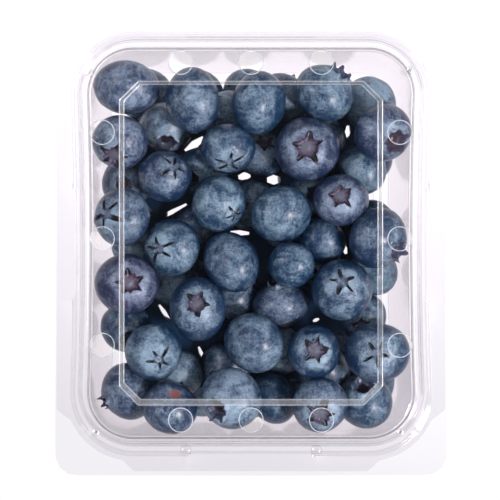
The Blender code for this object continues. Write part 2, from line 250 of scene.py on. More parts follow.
def spread(points, count):
    """The same path with a set number of points, evenly spaced along it."""
    path = np.array(points)
    along = np.concatenate(([0.0], np.cumsum(np.linalg.norm(np.diff(path, axis=0), axis=1))))
    places = np.linspace(0.0, along[-1], count)
    return [(float(np.interp(p, along, path[:, 0])), float(np.interp(p, along, path[:, 1]))) for p in places]


def flange_back_corner(inset):
    """From the side: the rounded back end of the side flange, a step onto the bead, then the hinge strip."""
    half, _, back, radius = BEAD_OUT
    side = FLANGE_HALF - inset
    lobe = arc(side - BACK_RADIUS, FLANGE_BACK - BACK_RADIUS, BACK_RADIUS, 0, 90, TAB_STEPS)
    edge = hinge.y - inset
    path = [(side, back - radius)] + lobe + [LOBE_END, STRIP_FOOT, (HINGE_HALF, edge), (half - radius, edge)]
    return spread(path, CORNER_STEPS + 1)


def lid_front_corner():
    """The lid's finger tab: a rounded square corner."""
    half, front, _, radius = BEAD_OUT
    tab = arc(FLANGE_HALF - FRONT_RADIUS, LID_FRONT + FRONT_RADIUS, FRONT_RADIUS, -90, 0, TAB_STEPS)
    path = ([(half - radius, LID_FRONT), (LID_TAB_X, LID_FRONT)] + tab
            + [(FLANGE_HALF, LID_TAB_Y), (FLANGE_HALF, front + radius)])
    return spread(path, CORNER_STEPS + 1)


def tray_front_corner():
    """The tray's flange, cut back to the bead so that a finger reaches the lid's tab."""
    half, front, _, radius = BEAD_OUT
    notch = arc(half - radius, front + radius, radius + NOTCH_OFFSET, *NOTCH_ANGLES, TAB_STEPS)
    path = ([(half - radius, TRAY_FRONT)] + TRAY_TAB + notch
            + [(FLANGE_HALF - HINGE_GAP, TRAY_TAB_Y), (FLANGE_HALF - HINGE_GAP, front + radius)])
    return spread(path, CORNER_STEPS + 1)


# %% [markdown]
# Between the corners a loop needs points only where something happens: where the grips and the latch begin
# and end, and along the sides, which bow inwards a little.

# %% Loops
SIDE_BOW = 0.7 * MM
SIDE_QUARTERS = (-24.0 * MM, 28.0 * MM)
GRIP_FRONT = -12.4 * MM
GRIP_BACK = 15.0 * MM
GRIP_RAMP = 1.6 * MM
LATCH_HALF = 15.6 * MM


def loop(corners, bow=0.0):
    """One closed loop of points, mirrored left to right; the long sides bow inwards by a given depth."""
    front, back = corners
    x0, y0 = front[-1]
    x1, y1 = back[0]
    grip = [GRIP_FRONT - GRIP_RAMP, GRIP_FRONT, 0.0, GRIP_BACK, GRIP_BACK + GRIP_RAMP]
    side = []
    for y in (SIDE_QUARTERS[0], *grip, SIDE_QUARTERS[1]):
        t = (y - y0) / (y1 - y0)
        side.append((x0 + (x1 - x0) * t - bow * 4 * t * (1 - t), y))
    right = front + side + back
    left = [(-x, y) for x, y in reversed(right)]
    ramp_ends = [LATCH_HALF + GRIP_RAMP, LATCH_HALF, 0.0, -LATCH_HALF, -LATCH_HALF - GRIP_RAMP]
    back_side = [(x, back[-1][1]) for x in ramp_ends]
    front_side = [(-x, front[0][1]) for x in ramp_ends]
    return right + back_side + left + front_side


def ring(station, flange_corners, lift):
    """The 3D loop of one (outline, offset, height) station of a sheet."""
    outline, offset, height = station
    if outline == FLANGE:
        points = loop(flange_corners)
    elif outline in (PANEL, PANEL_FLOOR):
        points = loop(chamfered_corners(outline, offset))
    else:
        points = loop(rounded_corners(grown(outline, offset)), SIDE_BOW)
    on_rim = outline == FLANGE or (outline == BEAD_OUT and offset > 0)
    return [(x, y, height + (lift(x, y) if on_rim else 0.0)) for x, y in points]


# %% Grips and latch
GRIP_INSIDE_X = 40.0 * MM
LATCH_INSIDE_Y = -50.0 * MM
SLACK = 0.01 * MM


def grip_lift(x, y):
    """How far the lid's rim is raised: the grips at mid-side, and the latch in the middle of the front."""
    if abs(x) > GRIP_INSIDE_X and GRIP_FRONT - SLACK < y < GRIP_BACK + SLACK:
        return BEAD_RISE
    if y < LATCH_INSIDE_Y and abs(x) < LATCH_HALF + SLACK:
        return BEAD_RISE
    return 0.0


def no_lift(x, y):
    """The tray's rim, which is level all round."""
    return 0.0


# %% [markdown]
# ## Clear sheet
#
# The pack is PET, a clear polyester, heated and drawn over a mould. It is 0.36 mm thick, so it bends light
# hardly at all: what the eye gets is the view behind, a little greyer where the sheet is seen edge-on, and
# sharp reflections on its bends. That grey is painted shade in the colour of what shows through, standing in
# for the darker surroundings that the real sheet shows at grazing. A Transparent shader mixed with a Glossy
# one gives that without the noise of true refraction. The share that mirrors is 3% straight on and about half
# at grazing.
#
# A tight bend is different. It acts as a small lens, and shows a line of the light from elsewhere: bright
# over dark berries, grey over a white table. So the bends get finishes of their own. The low ones mirror a
# third of the light. The dome's upper edge is a fine grey line, with more painted shade and less mirror. The
# panel's steep sides are where the sheet is stretched most, and they have a trace of haze. The roll at the
# hinge is pale and quiet.

# %% Clear PET, flat and bent
# The sheet is never quite flat: the length of its slow ripple, and the height
RIPPLE = 8.333 * MM
RIPPLE_DEPTH = 0.2 * MM


def make_clear_sheet(name, edge_on_shade_stops, mirror_low, mirror_high, mirror_colour, haze=0.0):
    """What lies behind, greyed by painted shade the more edge-on the sheet is seen, with a share of mirror
    and one of haze.
    """
    material, output = new_material(name)
    tree = material.node_tree
    facing = add_node(tree, "ShaderNodeLayerWeight", Blend=0.5).outputs["Facing"]
    # painted shade: what shows through turns grey towards edge-on
    edge_on_shade = add_ramp(tree, facing, edge_on_shade_stops)
    grazing = add_node(tree, "ShaderNodeMath", {"operation": "POWER"}, _0=facing, _1=5.0).outputs[0]
    mirror = add_node(tree, "ShaderNodeMapRange", Value=grazing, To_Min=mirror_low, To_Max=mirror_high)
    place = add_node(tree, "ShaderNodeTexCoord").outputs["Object"]
    ripple = add_node(tree, "ShaderNodeTexNoise", Vector=place, Scale=1 / RIPPLE, Detail=2.0).outputs["Fac"]
    bump = add_node(tree, "ShaderNodeBump", Strength=0.12, Distance=RIPPLE_DEPTH, Height=ripple)
    clear = add_node(tree, "ShaderNodeBsdfTransparent", Color=edge_on_shade)
    if haze:
        dull = add_node(tree, "ShaderNodeBsdfDiffuse", Color=linear("#ffffff"))
        clear = add_node(tree, "ShaderNodeMixShader", Fac=haze, _1=clear.outputs[0], _2=dull.outputs[0])
    gloss = add_node(tree, "ShaderNodeBsdfAnisotropic", Roughness=0.08, Normal=bump.outputs["Normal"],
                     Color=linear(mirror_colour))
    mix = add_node(tree, "ShaderNodeMixShader", Fac=mirror.outputs["Result"], _1=clear.outputs[0],
                   _2=gloss.outputs[0])
    tree.links.new(mix.outputs[0], output.inputs["Surface"])
    return material


# %% [markdown]
# Where the sheet is cut, round its outer edge and round each vent, the blade leaves a fine frosted face that
# scatters light. It shows as a thin pale line over dark berries and is lost over the clear wall, so it gets
# its own finish, half clear and half pale grey.

# %% Cut edge of PET
CUT_GRAIN = 1.111 * MM


def make_cut_edge():
    """The frosted face that a blade leaves, part clear and part pale grey."""
    material, output = new_material("cut_edge_of_PET")
    tree = material.node_tree
    place = add_node(tree, "ShaderNodeTexCoord").outputs["Object"]
    grain = add_node(tree, "ShaderNodeTexNoise", Vector=place, Scale=1 / CUT_GRAIN, Detail=2.0).outputs["Fac"]
    white = add_ramp(tree, grain, [(0.3, "#b4b6be"), (0.7, "#d6d8de")])
    frosted = add_node(tree, "ShaderNodeBsdfPrincipled", Base_Color=white, Roughness=0.35)
    clear = add_node(tree, "ShaderNodeBsdfTransparent", Color=linear("#f4f2f6"))
    share = add_node(tree, "ShaderNodeMapRange", Value=grain, To_Min=0.35, To_Max=0.70).outputs["Result"]
    mix = add_node(tree, "ShaderNodeMixShader", Fac=share, _1=clear.outputs[0], _2=frosted.outputs[0])
    tree.links.new(mix.outputs[0], output.inputs["Surface"])
    return material


# %% The pack's finishes
# Painted shade ramps: each goes from the sheet seen straight on (0) to seen edge-on (1), its grey standing in
# for the darker surroundings that the real sheet shows at grazing
FLAT_EDGE_ON_SHADE = [(0.0, "#fbfafc"), (0.62, "#f6f4f6"), (0.84, "#eae6e8"), (0.95, "#9c989c"), (1.0, "#4c4a4f")]
BEND_EDGE_ON_SHADE = [(0.0, "#fcfbfc"), (0.3, "#f9f7f9"), (0.7, "#efecee"), (0.92, "#b5b1b5"), (1.0, "#58555a")]
DOME_EDGE_ON_SHADE = [(0.0, "#f6f5f6"), (0.3, "#d8d5d8"), (0.7, "#9f9c9f"), (1.0, "#59575b")]
HINGE_EDGE_ON_SHADE = [(0.0, "#fdfcfe"), (0.8, "#f3f2f6"), (1.0, "#dddbe2")]
PANEL_HAZE = 0.05
clear_sheet = make_clear_sheet("formed_clear_PET", FLAT_EDGE_ON_SHADE, 0.03, 0.48, "#fefbfe")
clear_bend = make_clear_sheet("bent_clear_PET", BEND_EDGE_ON_SHADE, 0.33, 0.7, "#faf5f6")
dome_bend = make_clear_sheet("dome_edge_PET", DOME_EDGE_ON_SHADE, 0.10, 0.3, "#d3ced2")
drawn_sheet = make_clear_sheet("drawn_clear_PET", BEND_EDGE_ON_SHADE, 0.16, 0.6, "#faf5f6", PANEL_HAZE)
hinge_sheet = make_clear_sheet("folded_clear_PET", HINGE_EDGE_ON_SHADE, 0.03, 0.25, "#fefbfe")
cut_edge = make_cut_edge()
SHEET_FINISHES = (clear_sheet, cut_edge, clear_bend, dome_bend, drawn_sheet)
_, CUT, BEND, DOME, DRAWN = range(len(SHEET_FINISHES))
print("sheet finishes:", [finish.name for finish in SHEET_FINISHES])

# %% [markdown]
# ## Forming a sheet
#
# A formed sheet is one surface that follows the mould. It could be box-modelled, but its bends are all loops
# round the pack, so it starts as a circle whose points are moved to the first outline. Then the open edge is
# extruded once for each bend, and each new loop is moved to the next outline. Each point keeps its number in
# the loop as it is extruded, which tells it where to go. Last of all a face closes the middle.

# %% Draw the surface
def draw_surface(name, rings):
    """A circle moved to the first ring and extruded to each of the others, its middle closed by a face."""
    bpy.ops.object.select_all(action="DESELECT")
    bpy.ops.mesh.primitive_circle_add(vertices=len(rings[0]), radius=1.0)
    sheet = new_piece(name)
    post = sheet.data.attributes.new("post", "INT", "POINT")
    post.data.foreach_set("value", list(range(len(rings[0]))))
    for vertex, place in zip(sheet.data.vertices, rings[0]):
        vertex.co = place

    # Out to the flange, loop by loop
    bpy.ops.object.mode_set(mode="EDIT")
    bpy.ops.mesh.select_mode(type="VERT")
    bpy.ops.mesh.select_all(action="SELECT")
    for places in rings[1:]:
        bpy.ops.mesh.extrude_region_move()
        bm = bmesh.from_edit_mesh(sheet.data)
        number = bm.verts.layers.int["post"]
        for vertex in bm.verts:
            if vertex.select:
                vertex.co = places[vertex[number]]
        bmesh.update_edit_mesh(sheet.data)

    # A face over the first loop, then all faces outwards
    bpy.ops.mesh.select_all(action="DESELECT")
    bm = bmesh.from_edit_mesh(sheet.data)
    for edge in bm.edges:
        at_middle = all((v.co.xy - Vector(rings[0][v[number]][:2])).length < SLACK for v in edge.verts)
        edge.select = edge.is_boundary and at_middle
    bm.select_flush(True)
    bmesh.update_edit_mesh(sheet.data)
    bpy.ops.mesh.edge_face_add()
    bpy.ops.mesh.select_all(action="SELECT")
    bpy.ops.mesh.normals_make_consistent(inside=False)
    bpy.ops.object.mode_set(mode="OBJECT")
    sheet.data.attributes.remove(sheet.data.attributes["post"])
    return sheet


# %% [markdown]
# Warm sheet can't take a sharp corner, so a Bevel rounds the bends. It goes by edge weights, because the
# bends of the panel come out wider than the rest. The grips and the latch rise from the rim over short ramps.
# The edges that run across the rim there get no weight: the real sheet blends into a ramp without a line, and
# a bevel would draw one in the bright finish of the bends.

# %% Mark the bends
WIDE_BEND = 0.45 * MM
SMALL_BEND = 0.28 * MM
BEND_ANGLE = math.radians(22)


def mark_bends(sheet):
    """Give a bevel weight to each edge where two faces meet at enough of an angle."""
    bm = bmesh.new()
    bm.from_mesh(sheet.data)
    weight = bm.edges.layers.float.new("bevel_weight_edge")
    for edge in bm.edges:
        run = edge.verts[0].co - edge.verts[1].co
        across_front = all(v.co.y < LATCH_INSIDE_Y for v in edge.verts) and abs(run.y) > MM
        across_side = all(abs(v.co.x) > GRIP_INSIDE_X for v in edge.verts) and abs(run.x) > MM
        if across_front or across_side or len(edge.link_faces) != 2 or edge.calc_face_angle() <= BEND_ANGLE:
            continue
        farthest = max(abs(v.co.x) for v in edge.verts)
        on_panel = farthest < PANEL[0] + SLACK and edge.verts[0].co.z > LID_FLANGE_Z
        edge[weight] = 1.0 if on_panel else SMALL_BEND / WIDE_BEND
    bm.to_mesh(sheet.data)
    bm.free()


# %% [markdown]
# Solidify gives the sheet its wall, with the cut edge as its rim. The finishes go on by slots, always in the
# same order, and faces get their slot by where they lie: the bevel hands the bends theirs, then the bends
# above the bead are shared out between the panel and the dome's upper edge.

# %% Form a sheet
# how far over the lid's flange the dome's edge begins, and how far up a steep face's normal points at most
DOME_EDGE = BEAD_RISE + 0.3 * MM
STEEP = 0.9
SHEET_SMOOTH = math.radians(32)


def in_panel(face, margin=0.0):
    """Whether a face lies inside the lid panel's outline, seen from above."""
    half, front, back, _ = PANEL
    return abs(face.center.x) < half + margin and front - margin < face.center.y < back + margin


def form_sheet(name, stations, flange_corners, lift):
    """A formed sheet through (outline, offset, height) stations, from its middle out to its flange."""
    sheet = draw_surface(name, [ring(station, flange_corners, lift) for station in stations])
    mark_bends(sheet)
    for finish in SHEET_FINISHES:
        sheet.data.materials.append(finish)
    for face in sheet.data.polygons:
        if face.center.z > LID_FLANGE_Z and in_panel(face) and abs(face.normal.z) < STEEP:
            face.material_index = DRAWN
    rounding = sheet.modifiers.new("rounded_bends", "BEVEL")
    rounding.width = WIDE_BEND
    rounding.segments = 3
    rounding.limit_method = "WEIGHT"
    rounding.material = BEND
    wall = sheet.modifiers.new("wall", "SOLIDIFY")
    wall.thickness = SHEET
    wall.offset = 0.0
    wall.use_even_offset = True
    wall.thickness_clamp = 1.0
    wall.material_offset_rim = CUT
    apply_modifiers(sheet)
    for face in sheet.data.polygons:
        if face.material_index == BEND and face.center.z > LID_FLANGE_Z + DOME_EDGE:
            face.material_index = DRAWN if in_panel(face, MM) else DOME
    bpy.ops.object.shade_smooth_by_angle(angle=SHEET_SMOOTH)
    print(name, len(sheet.data.polygons), "faces")
    return sheet


# %% [markdown]
# ## The tray
#
# A foot ring to stand on, a drafted wall, a rounded mouth, then a low bead and the flange. The wall leans out
# by 4.3 mm over its height, so that trays nest in each other and come off the mould. Behind the flange runs
# the hinge, where one sheet folds over from the tray to the lid: a thin roll on the hinge line.

# %% Tray
# outline, how far outside it, height
TRAY_SECTION = [
    (FLOOR, -FOOT_WIDTH, FOOT_Z + FOOT_RISE),
    (FLOOR, -FOOT_WIDTH + 0.6 * MM, FOOT_Z),
    (FLOOR, -1.6 * MM, FOOT_Z),
    (FLOOR, -0.45 * MM, FOOT_Z + 0.45 * MM),
    (FLOOR, 0.0, FOOT_Z + 1.65 * MM),
    (MOUTH, -0.25 * MM, TRAY_FLANGE_Z - 0.8 * MM),
    (MOUTH, 0.1 * MM, TRAY_FLANGE_Z - 0.2 * MM),
    (MOUTH, 0.8 * MM, TRAY_FLANGE_Z),
    (BEAD_IN, 0.3 * MM, TRAY_FLANGE_Z),
    (BEAD_IN, 0.7 * MM, TRAY_FLANGE_Z + TRAY_BEAD_RISE),
    (BEAD_OUT, -0.8 * MM, TRAY_FLANGE_Z + TRAY_BEAD_RISE),
    (BEAD_OUT, -0.4 * MM, TRAY_FLANGE_Z),
    (FLANGE, 0.0, TRAY_FLANGE_Z),
]
tray = form_sheet("clear_tray", TRAY_SECTION, (tray_front_corner(), flange_back_corner(HINGE_GAP)), no_lift)

# %% Hinge
HINGE_ROLL = 0.35 * MM
ROLL_SMOOTH = math.radians(50)

bpy.ops.object.select_all(action="DESELECT")
bpy.ops.mesh.primitive_cylinder_add(vertices=16, radius=HINGE_ROLL, depth=2 * HINGE_HALF, location=hinge,
                                    rotation=(0.0, math.pi / 2, 0.0))
hinge_roll = new_piece("hinge_roll")
settle_in_place(hinge_roll)
hinge_roll.data.materials.append(hinge_sheet)
bpy.ops.object.shade_smooth_by_angle(angle=ROLL_SMOOTH)
print("hinge roll:", round(2 * HINGE_HALF / MM, 1), "mm long")
for piece in (tray, hinge_roll):
    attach(piece, "tray")
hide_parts("tray")

# %% [markdown]
# ## The lid
#
# From the middle out: a sunk panel with cut-off corners, the shelf round it, a low dome wall, the bead that
# snaps over the tray's, and the flange with its finger tabs. The bead is raised to a grip in the middle of
# each side and to the latch at the front.

# %% Lid
# outline, how far outside it, height
LID_SECTION = [
    (PANEL_FLOOR, 0.0, LID_TOP_Z - PANEL_DEPTH),
    (PANEL, 0.0, LID_TOP_Z),
    (MOUTH, -0.7 * MM, LID_TOP_Z),
    (MOUTH, -0.1 * MM, LID_TOP_Z - 0.3 * MM),
    (MOUTH, 0.2 * MM, LID_TOP_Z - 0.9 * MM),
    (MOUTH, 0.4 * MM, LID_FLANGE_Z + 0.4 * MM),
    (MOUTH, 0.9 * MM, LID_FLANGE_Z),
    (BEAD_IN, -0.3 * MM, LID_FLANGE_Z),
    (BEAD_IN, 0.1 * MM, LID_FLANGE_Z + BEAD_RISE),
    (BEAD_OUT, -0.2 * MM, LID_FLANGE_Z + BEAD_RISE),
    (BEAD_OUT, 0.3 * MM, LID_FLANGE_Z),
    (FLANGE, 0.0, LID_FLANGE_Z),
]
lid = form_sheet("clear_lid", LID_SECTION, (lid_front_corner(), flange_back_corner(0.0)), grip_lift)

# %% [markdown]
# ## Vents
#
# Twelve vents are punched through the shelf, and each has a fine raised lip. On the real pack a die punches
# them all at once, and a Boolean does the same here with twelve short cylinders joined into one piece. It
# hands the cylinders' finish to the walls of the holes. The lips are thin rings on the sheet's upper face.

# %% Vents
VENT_RADIUS = 3.05 * MM
VENT_SIDES_X = 37.6 * MM
VENT_SIDES_Y = (29.6 * MM, 2.7 * MM, -24.2 * MM)
VENT_ENDS_X = (-17.8 * MM, 0.0, 17.8 * MM)
VENT_ENDS_Y = (47.3 * MM, -43.1 * MM)
VENT_FACETS = 40
PUNCH_DEPTH = 3.0 * MM
LIP_RADIUS = 0.13 * MM
LIP_STEPS = (48, 8)


def cut_away(piece, name, cutters, material_mode="INDEX"):
    """Cut a set of pieces out of another one, then delete them."""
    cutter = join(name, cutters)
    settle_in_place(cutter)
    cut = piece.modifiers.new(name, "BOOLEAN")
    cut.operation = "DIFFERENCE"
    cut.solver = "EXACT"
    cut.material_mode = material_mode
    cut.object = cutter
    apply_modifiers(piece)
    bpy.data.objects.remove(cutter)


vent_places = [(side * VENT_SIDES_X, y) for side in (-1, 1) for y in VENT_SIDES_Y]
vent_places += [(x, y) for y in VENT_ENDS_Y for x in VENT_ENDS_X]
punches, lips = [], []
for x, y in vent_places:
    bpy.ops.mesh.primitive_cylinder_add(vertices=VENT_FACETS, radius=VENT_RADIUS, depth=PUNCH_DEPTH,
                                        location=(x, y, LID_TOP_Z))
    punches.append(new_piece("punch"))
    punches[-1].data.materials.append(cut_edge)
    bpy.ops.mesh.primitive_torus_add(major_segments=LIP_STEPS[0], minor_segments=LIP_STEPS[1],
                                     major_radius=VENT_RADIUS, minor_radius=LIP_RADIUS,
                                     location=(x, y, LID_TOP_Z + SHEET / 2))
    lips.append(new_piece("vent_lip"))
    lips[-1].data.materials.append(cut_edge)
cut_away(lid, "vents", punches, "TRANSFER")
print(len(vent_places), "vents")

# %% [markdown]
# ## Corner stops and snap buttons
#
# Four small stops stand in the dome's corners, so that stacked packs can't slide, and two snap buttons sit
# on the bead at the ends of the latch. All six are small bumps in the sheet, and flattened spheres stand for
# them.

# %% Corner stops and snap buttons
# x, y of each in mm
CORNER_STOPS = [(-40.8, 44.6), (40.2, 45.4), (37.8, -46.2), (-39.2, -46.2)]
SNAP_BUTTONS = [(-16.6, -51.0), (16.6, -51.0)]
STUD_FLATNESS = 0.4
# places, radius, height, finish
STUDS = [
    (CORNER_STOPS, 1.0 * MM, LID_TOP_Z - 1.0 * MM, clear_bend),
    (SNAP_BUTTONS, 1.4 * MM, LID_FLANGE_Z + BEAD_RISE - 0.2 * MM, clear_sheet),
]
for places, radius, height, finish in STUDS:
    for x, y in places:
        bpy.ops.mesh.primitive_uv_sphere_add(segments=24, ring_count=12, radius=radius,
                                             location=(x * MM, y * MM, height),
                                             scale=(1.0, 1.0, STUD_FLATNESS))
        lips.append(new_piece("stud"))
        lips[-1].data.materials.append(finish)
rim_lips = join("vent_lips", lips)
settle_in_place(rim_lips)
bpy.ops.object.shade_smooth()
print("lips and studs:", len(rim_lips.data.polygons), "faces")
for piece in (lid, rim_lips):
    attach(piece, "lid")
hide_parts("lid")

# %% [markdown]
# ## Where the berries lie
#
# Some eighty berries fill the pack in three layers. Their places come from the same settling that shaped the
# heap in the CAD model: every berry starts at its spot, falls a little at each step, and is pushed out of
# its neighbours and the walls. Seen from above, berries on top keep their spots. Those below are held to
# theirs loosely, and those at the bottom not at all. The shafts are the narrow chinks that go right down
# through the heap, and the two lower layers are pushed out of them too.
#
# Each berry on top also has its own looks, listed one by one: which way its crown points, the crown's kind,
# size and turn, how long the berry is and which way, how thick its bloom is, and how purple its skin.

# %% Berries on top
# x, y, width, level in mm; crown kind, its direction in plan (1 is the limb), size, turn in degrees;
# length over width, and the angle of the long side; bloom, purple
TOP_BERRIES = [
    (-31.8, 41.4, 15.3, 27, "none", -0.2, 0.5, 0.40, 0, 1.20, -8, 0.65, 0.6),
    (-14.9, 38.0, 15.2, 28, "none", 0.6, 0.1, 0.40, 0, 1.20, 92, 0.50, 0.3),
    (2.0, 37.3, 15.0, 28, "none", -0.5, 0.3, 0.40, 0, 1.16, 88, 0.42, 0.1),
    (18.8, 39.8, 15.3, 28, "cup", 0.60, 0.71, 0.37, 0, 1.00, 0, 0.50, 0.1),
    (-33.3, 27.4, 14.2, 26, "star", -0.25, -0.62, 0.60, 20, 1.00, 0, 0.55, 0.6),
    (-5.9, 25.8, 13.5, 27, "slits", 0.08, -0.62, 0.56, 10, 1.05, 0, 0.45, 0.2),
    (14.3, 25.6, 16.6, 28, "star", 0.01, 0.05, 0.55, 64, 1.00, 0, 0.45, 0.6),
    (33.6, 29.7, 14.8, 28, "cup", 0.48, -0.36, 0.48, 40, 1.00, 0, 0.45, 0.6),
    (-21.9, 18.7, 13.5, 28, "slits", 0.36, 0.36, 0.56, 0, 1.03, 0, 0.36, 0.4),
    (-8.1, 11.6, 14.2, 28, "slits", 0.60, -0.40, 0.40, 0, 1.00, 0, 0.50, 0.1),
    (22.9, 12.6, 13.8, 28, "star", -0.02, 0.18, 0.54, 55, 1.08, 0, 0.55, 0.6),
    (30.4, 37.5, 14.0, 20, "none", 0.3, 0.3, 0.40, 0, 1.00, 0, 0.85, 0.2),
    (-32.8, 8.3, 14.6, 27, "slits", -0.62, 0.12, 0.66, 0, 1.00, 0, 0.60, 0.4),
    (7.6, 9.0, 15.4, 28, "none", -0.3, 0.7, 0.40, 0, 1.03, 0, 0.55, 0.1),
    (32.3, 2.9, 15.4, 27, "cup", 0.72, -0.46, 0.40, 0, 1.00, 0, 0.28, 0.4),
    (-20.1, 0.6, 14.3, 28, "slits", -0.52, -0.07, 0.60, 40, 1.00, 0, 0.55, 0.1),
    (-5.1, -3.2, 15.0, 28, "none", 0.5, -0.5, 0.40, 0, 1.22, 125, 0.45, 0.2),
    (10.2, -3.9, 11.8, 26, "none", 0.3, 0.4, 0.40, 0, 1.00, 0, 0.45, 0.1),
    (-31.6, -8.8, 16.0, 27, "star", 0.13, 0.06, 0.50, 58, 1.04, 0, 0.45, 0.9),
    (23.2, -10.3, 15.6, 28, "slits", 0.00, 0.31, 0.58, -8, 1.00, 0, 0.45, 0.2),
    (7.6, -13.9, 14.2, 27, "cup", -0.10, 0.90, 0.38, 0, 1.10, 10, 0.50, 0.5),
    (-13.5, -15.1, 15.4, 28, "star", -0.04, 0.20, 0.50, 18, 1.14, 85, 0.46, 0.3),
    (0.8, -23.8, 15.4, 28, "none", 0.6, 0.3, 0.40, 0, 1.07, -30, 0.60, 0.2),
    (-24.9, -26.1, 14.5, 28, "slits", 0.27, -0.30, 0.52, 80, 1.00, 0, 0.60, 0.1),
    (16.0, -26.1, 13.4, 28, "star", 0.07, 0.10, 0.56, 2, 1.04, 90, 0.42, 0.2),
    (32.1, -26.3, 16.0, 28, "slits", -0.02, -0.02, 0.50, 35, 1.10, 0, 0.42, 0.3),
    (-5.1, -38.0, 15.8, 27, "cup", -0.52, -0.36, 0.42, 0, 1.00, 0, 0.70, 0.3),
    (17.6, -39.6, 14.2, 28, "star", 0.00, -0.36, 0.59, 0, 1.00, 0, 0.55, 0.4),
    (-20.6, -40.3, 13.8, 27, "stalk", -0.22, -0.60, 0.40, 0, 1.00, 0, 0.40, 0.5),
    (-31.5, -36.3, 14.8, 23, "cup", -0.86, -0.40, 0.25, 0, 1.00, 0, 0.40, 0.5),
    (18.1, 2.4, 12.4, 22, "none", 0.1, 0.3, 0.40, 0, 1.00, 0, 0.30, 0.2),
]

# %% Berries below, and the shafts between
# x, y, width, level in mm
MIDDLE_BERRIES = [
    (-21.9, 31.7, 13.5, 20), (8.6, 38.8, 12.8, 19), (24.0, 25.0, 13.0, 18), (-34.6, 15.9, 13.0, 19),
    (28.2, 20.7, 13.0, 19), (2.8, 25.3, 13.0, 18), (-14.0, 21.0, 13.2, 17), (1.5, 12.6, 13.4, 18),
    (30.3, -7.3, 12.6, 19), (32.6, 8.8, 12.8, 17), (-16.8, -7.8, 13.4, 18), (27.2, -18.5, 12.4, 19),
    (-31.6, -20.0, 13.2, 19), (-3.8, -12.9, 13.6, 18), (-18.1, -32.2, 13.0, 19), (-7.0, -27.5, 13.0, 17),
    (5.9, -36.8, 13.0, 20), (24.4, -32.7, 13.4, 20), (31.3, -37.3, 14.2, 19), (10.0, -23.5, 12.8, 17),
    (-5.5, 36.0, 13.0, 17), (-29.5, 30.0, 13.0, 14), (-28.0, 0.5, 13.0, 15), (16.0, -4.5, 13.0, 14),
    (14.0, 10.5, 13.0, 16), (-12.0, 2.5, 12.8, 15),
]
# x, y in mm
SHAFTS = [(-13.7, 27.6), (-1.8, 19.0), (5.9, 18.2), (25.2, 30.2), (30.8, 13.6), (-20.6, 9.5),
          (-2.3, 4.5), (24.2, 0.4), (-22.4, -16.2), (-12.7, -26.1), (17.3, -18.2)]
SHAFT_RADIUS = 1.0

# The bottom layer starts from staggered rows
BOTTOM_ROWS = 6
BOTTOM_COLUMNS = 5
BOTTOM_HALF_X = 29.0
BOTTOM_FRONT = -36.0
BOTTOM_BACK = 39.0
BOTTOM_LEVEL = 8.5
BOTTOM_WIDTH = 13.6
BOTTOM_SPREAD = 1.0
BOTTOM_SEED = 0


def scattered(rng):
    """Rough places for the bottom layer: staggered rows over the floor, with uneven widths."""
    spots = []
    for row in range(BOTTOM_ROWS):
        count = BOTTOM_COLUMNS - row % 2
        for column in range(count):
            x = BOTTOM_HALF_X * (2 * column - count + 1) / (BOTTOM_COLUMNS - 1)
            y = BOTTOM_FRONT + (BOTTOM_BACK - BOTTOM_FRONT) * row / (BOTTOM_ROWS - 1)
            spots.append((x, y, BOTTOM_WIDTH + BOTTOM_SPREAD * rng.uniform(-1.0, 1.0), BOTTOM_LEVEL))
    return spots


bottom_berries = scattered(np.random.default_rng(BOTTOM_SEED))
print(len(TOP_BERRIES), "on top,", len(MIDDLE_BERRIES), "below,", len(bottom_berries), "at the bottom")

# %% Walls, floor and ceiling
# in mm, apart from the overrun, a share of the wall's height; the wall leans out from its foot to its top
WALL_GAP = 0.9
WALL_FOOT = 1.9
WALL_TOP = 29.0
WALL_OVERRUN = 1.05
REST_Z = 2.05
CEILING_Z = 36.2
TINY = 1e-6


def push_inside(centre, radius):
    """Move spheres inside the tray's drafted, round-cornered wall and between its floor and the lid."""
    share = np.clip((centre[:, 2] - WALL_FOOT) / (WALL_TOP - WALL_FOOT), 0.0, WALL_OVERRUN)
    half, front, back, corner = [(a + share * (b - a)) / MM for a, b in zip(FLOOR, MOUTH)]
    middle = (front + back) / 2
    straight = (back - front) / 2 - corner
    bow = SIDE_BOW / MM * np.clip(1.0 - ((centre[:, 1] - middle) / straight) ** 2, 0.0, 1.0)
    beyond_x = np.clip(np.abs(centre[:, 0]) - (half - bow - WALL_GAP - corner), 0.0, None)
    beyond_y = np.clip(np.abs(centre[:, 1] - middle) - (straight - WALL_GAP), 0.0, None)
    reach = np.hypot(beyond_x, beyond_y) + TINY
    excess = np.clip(reach - (corner - radius), 0.0, None) / reach
    centre[:, 0] -= np.sign(centre[:, 0]) * beyond_x * excess
    centre[:, 1] -= np.sign(centre[:, 1] - middle) * beyond_y * excess
    centre[:, 2] = np.clip(centre[:, 2], REST_Z + radius, CEILING_Z - radius)


# %% Let the berries settle
SETTLE_STEPS = 1500
FALL = 0.03
SQUEEZE = 0.97
HOLD_UNTIL = 0.8
# For the top, middle and bottom layer: how firmly a place in plan and a level are held, and whether the
# shafts push
HOLD_PLAN = (1.0, 0.12, 0.0)
HOLD_LEVEL = (0.03, 0.01, 0.0)
SHAFTS_PUSH = (0.0, 1.0, 1.0)
PUSH_APART = 0.3
PUSH_ASIDE = 0.5
NOT_ITSELF = 1000.0


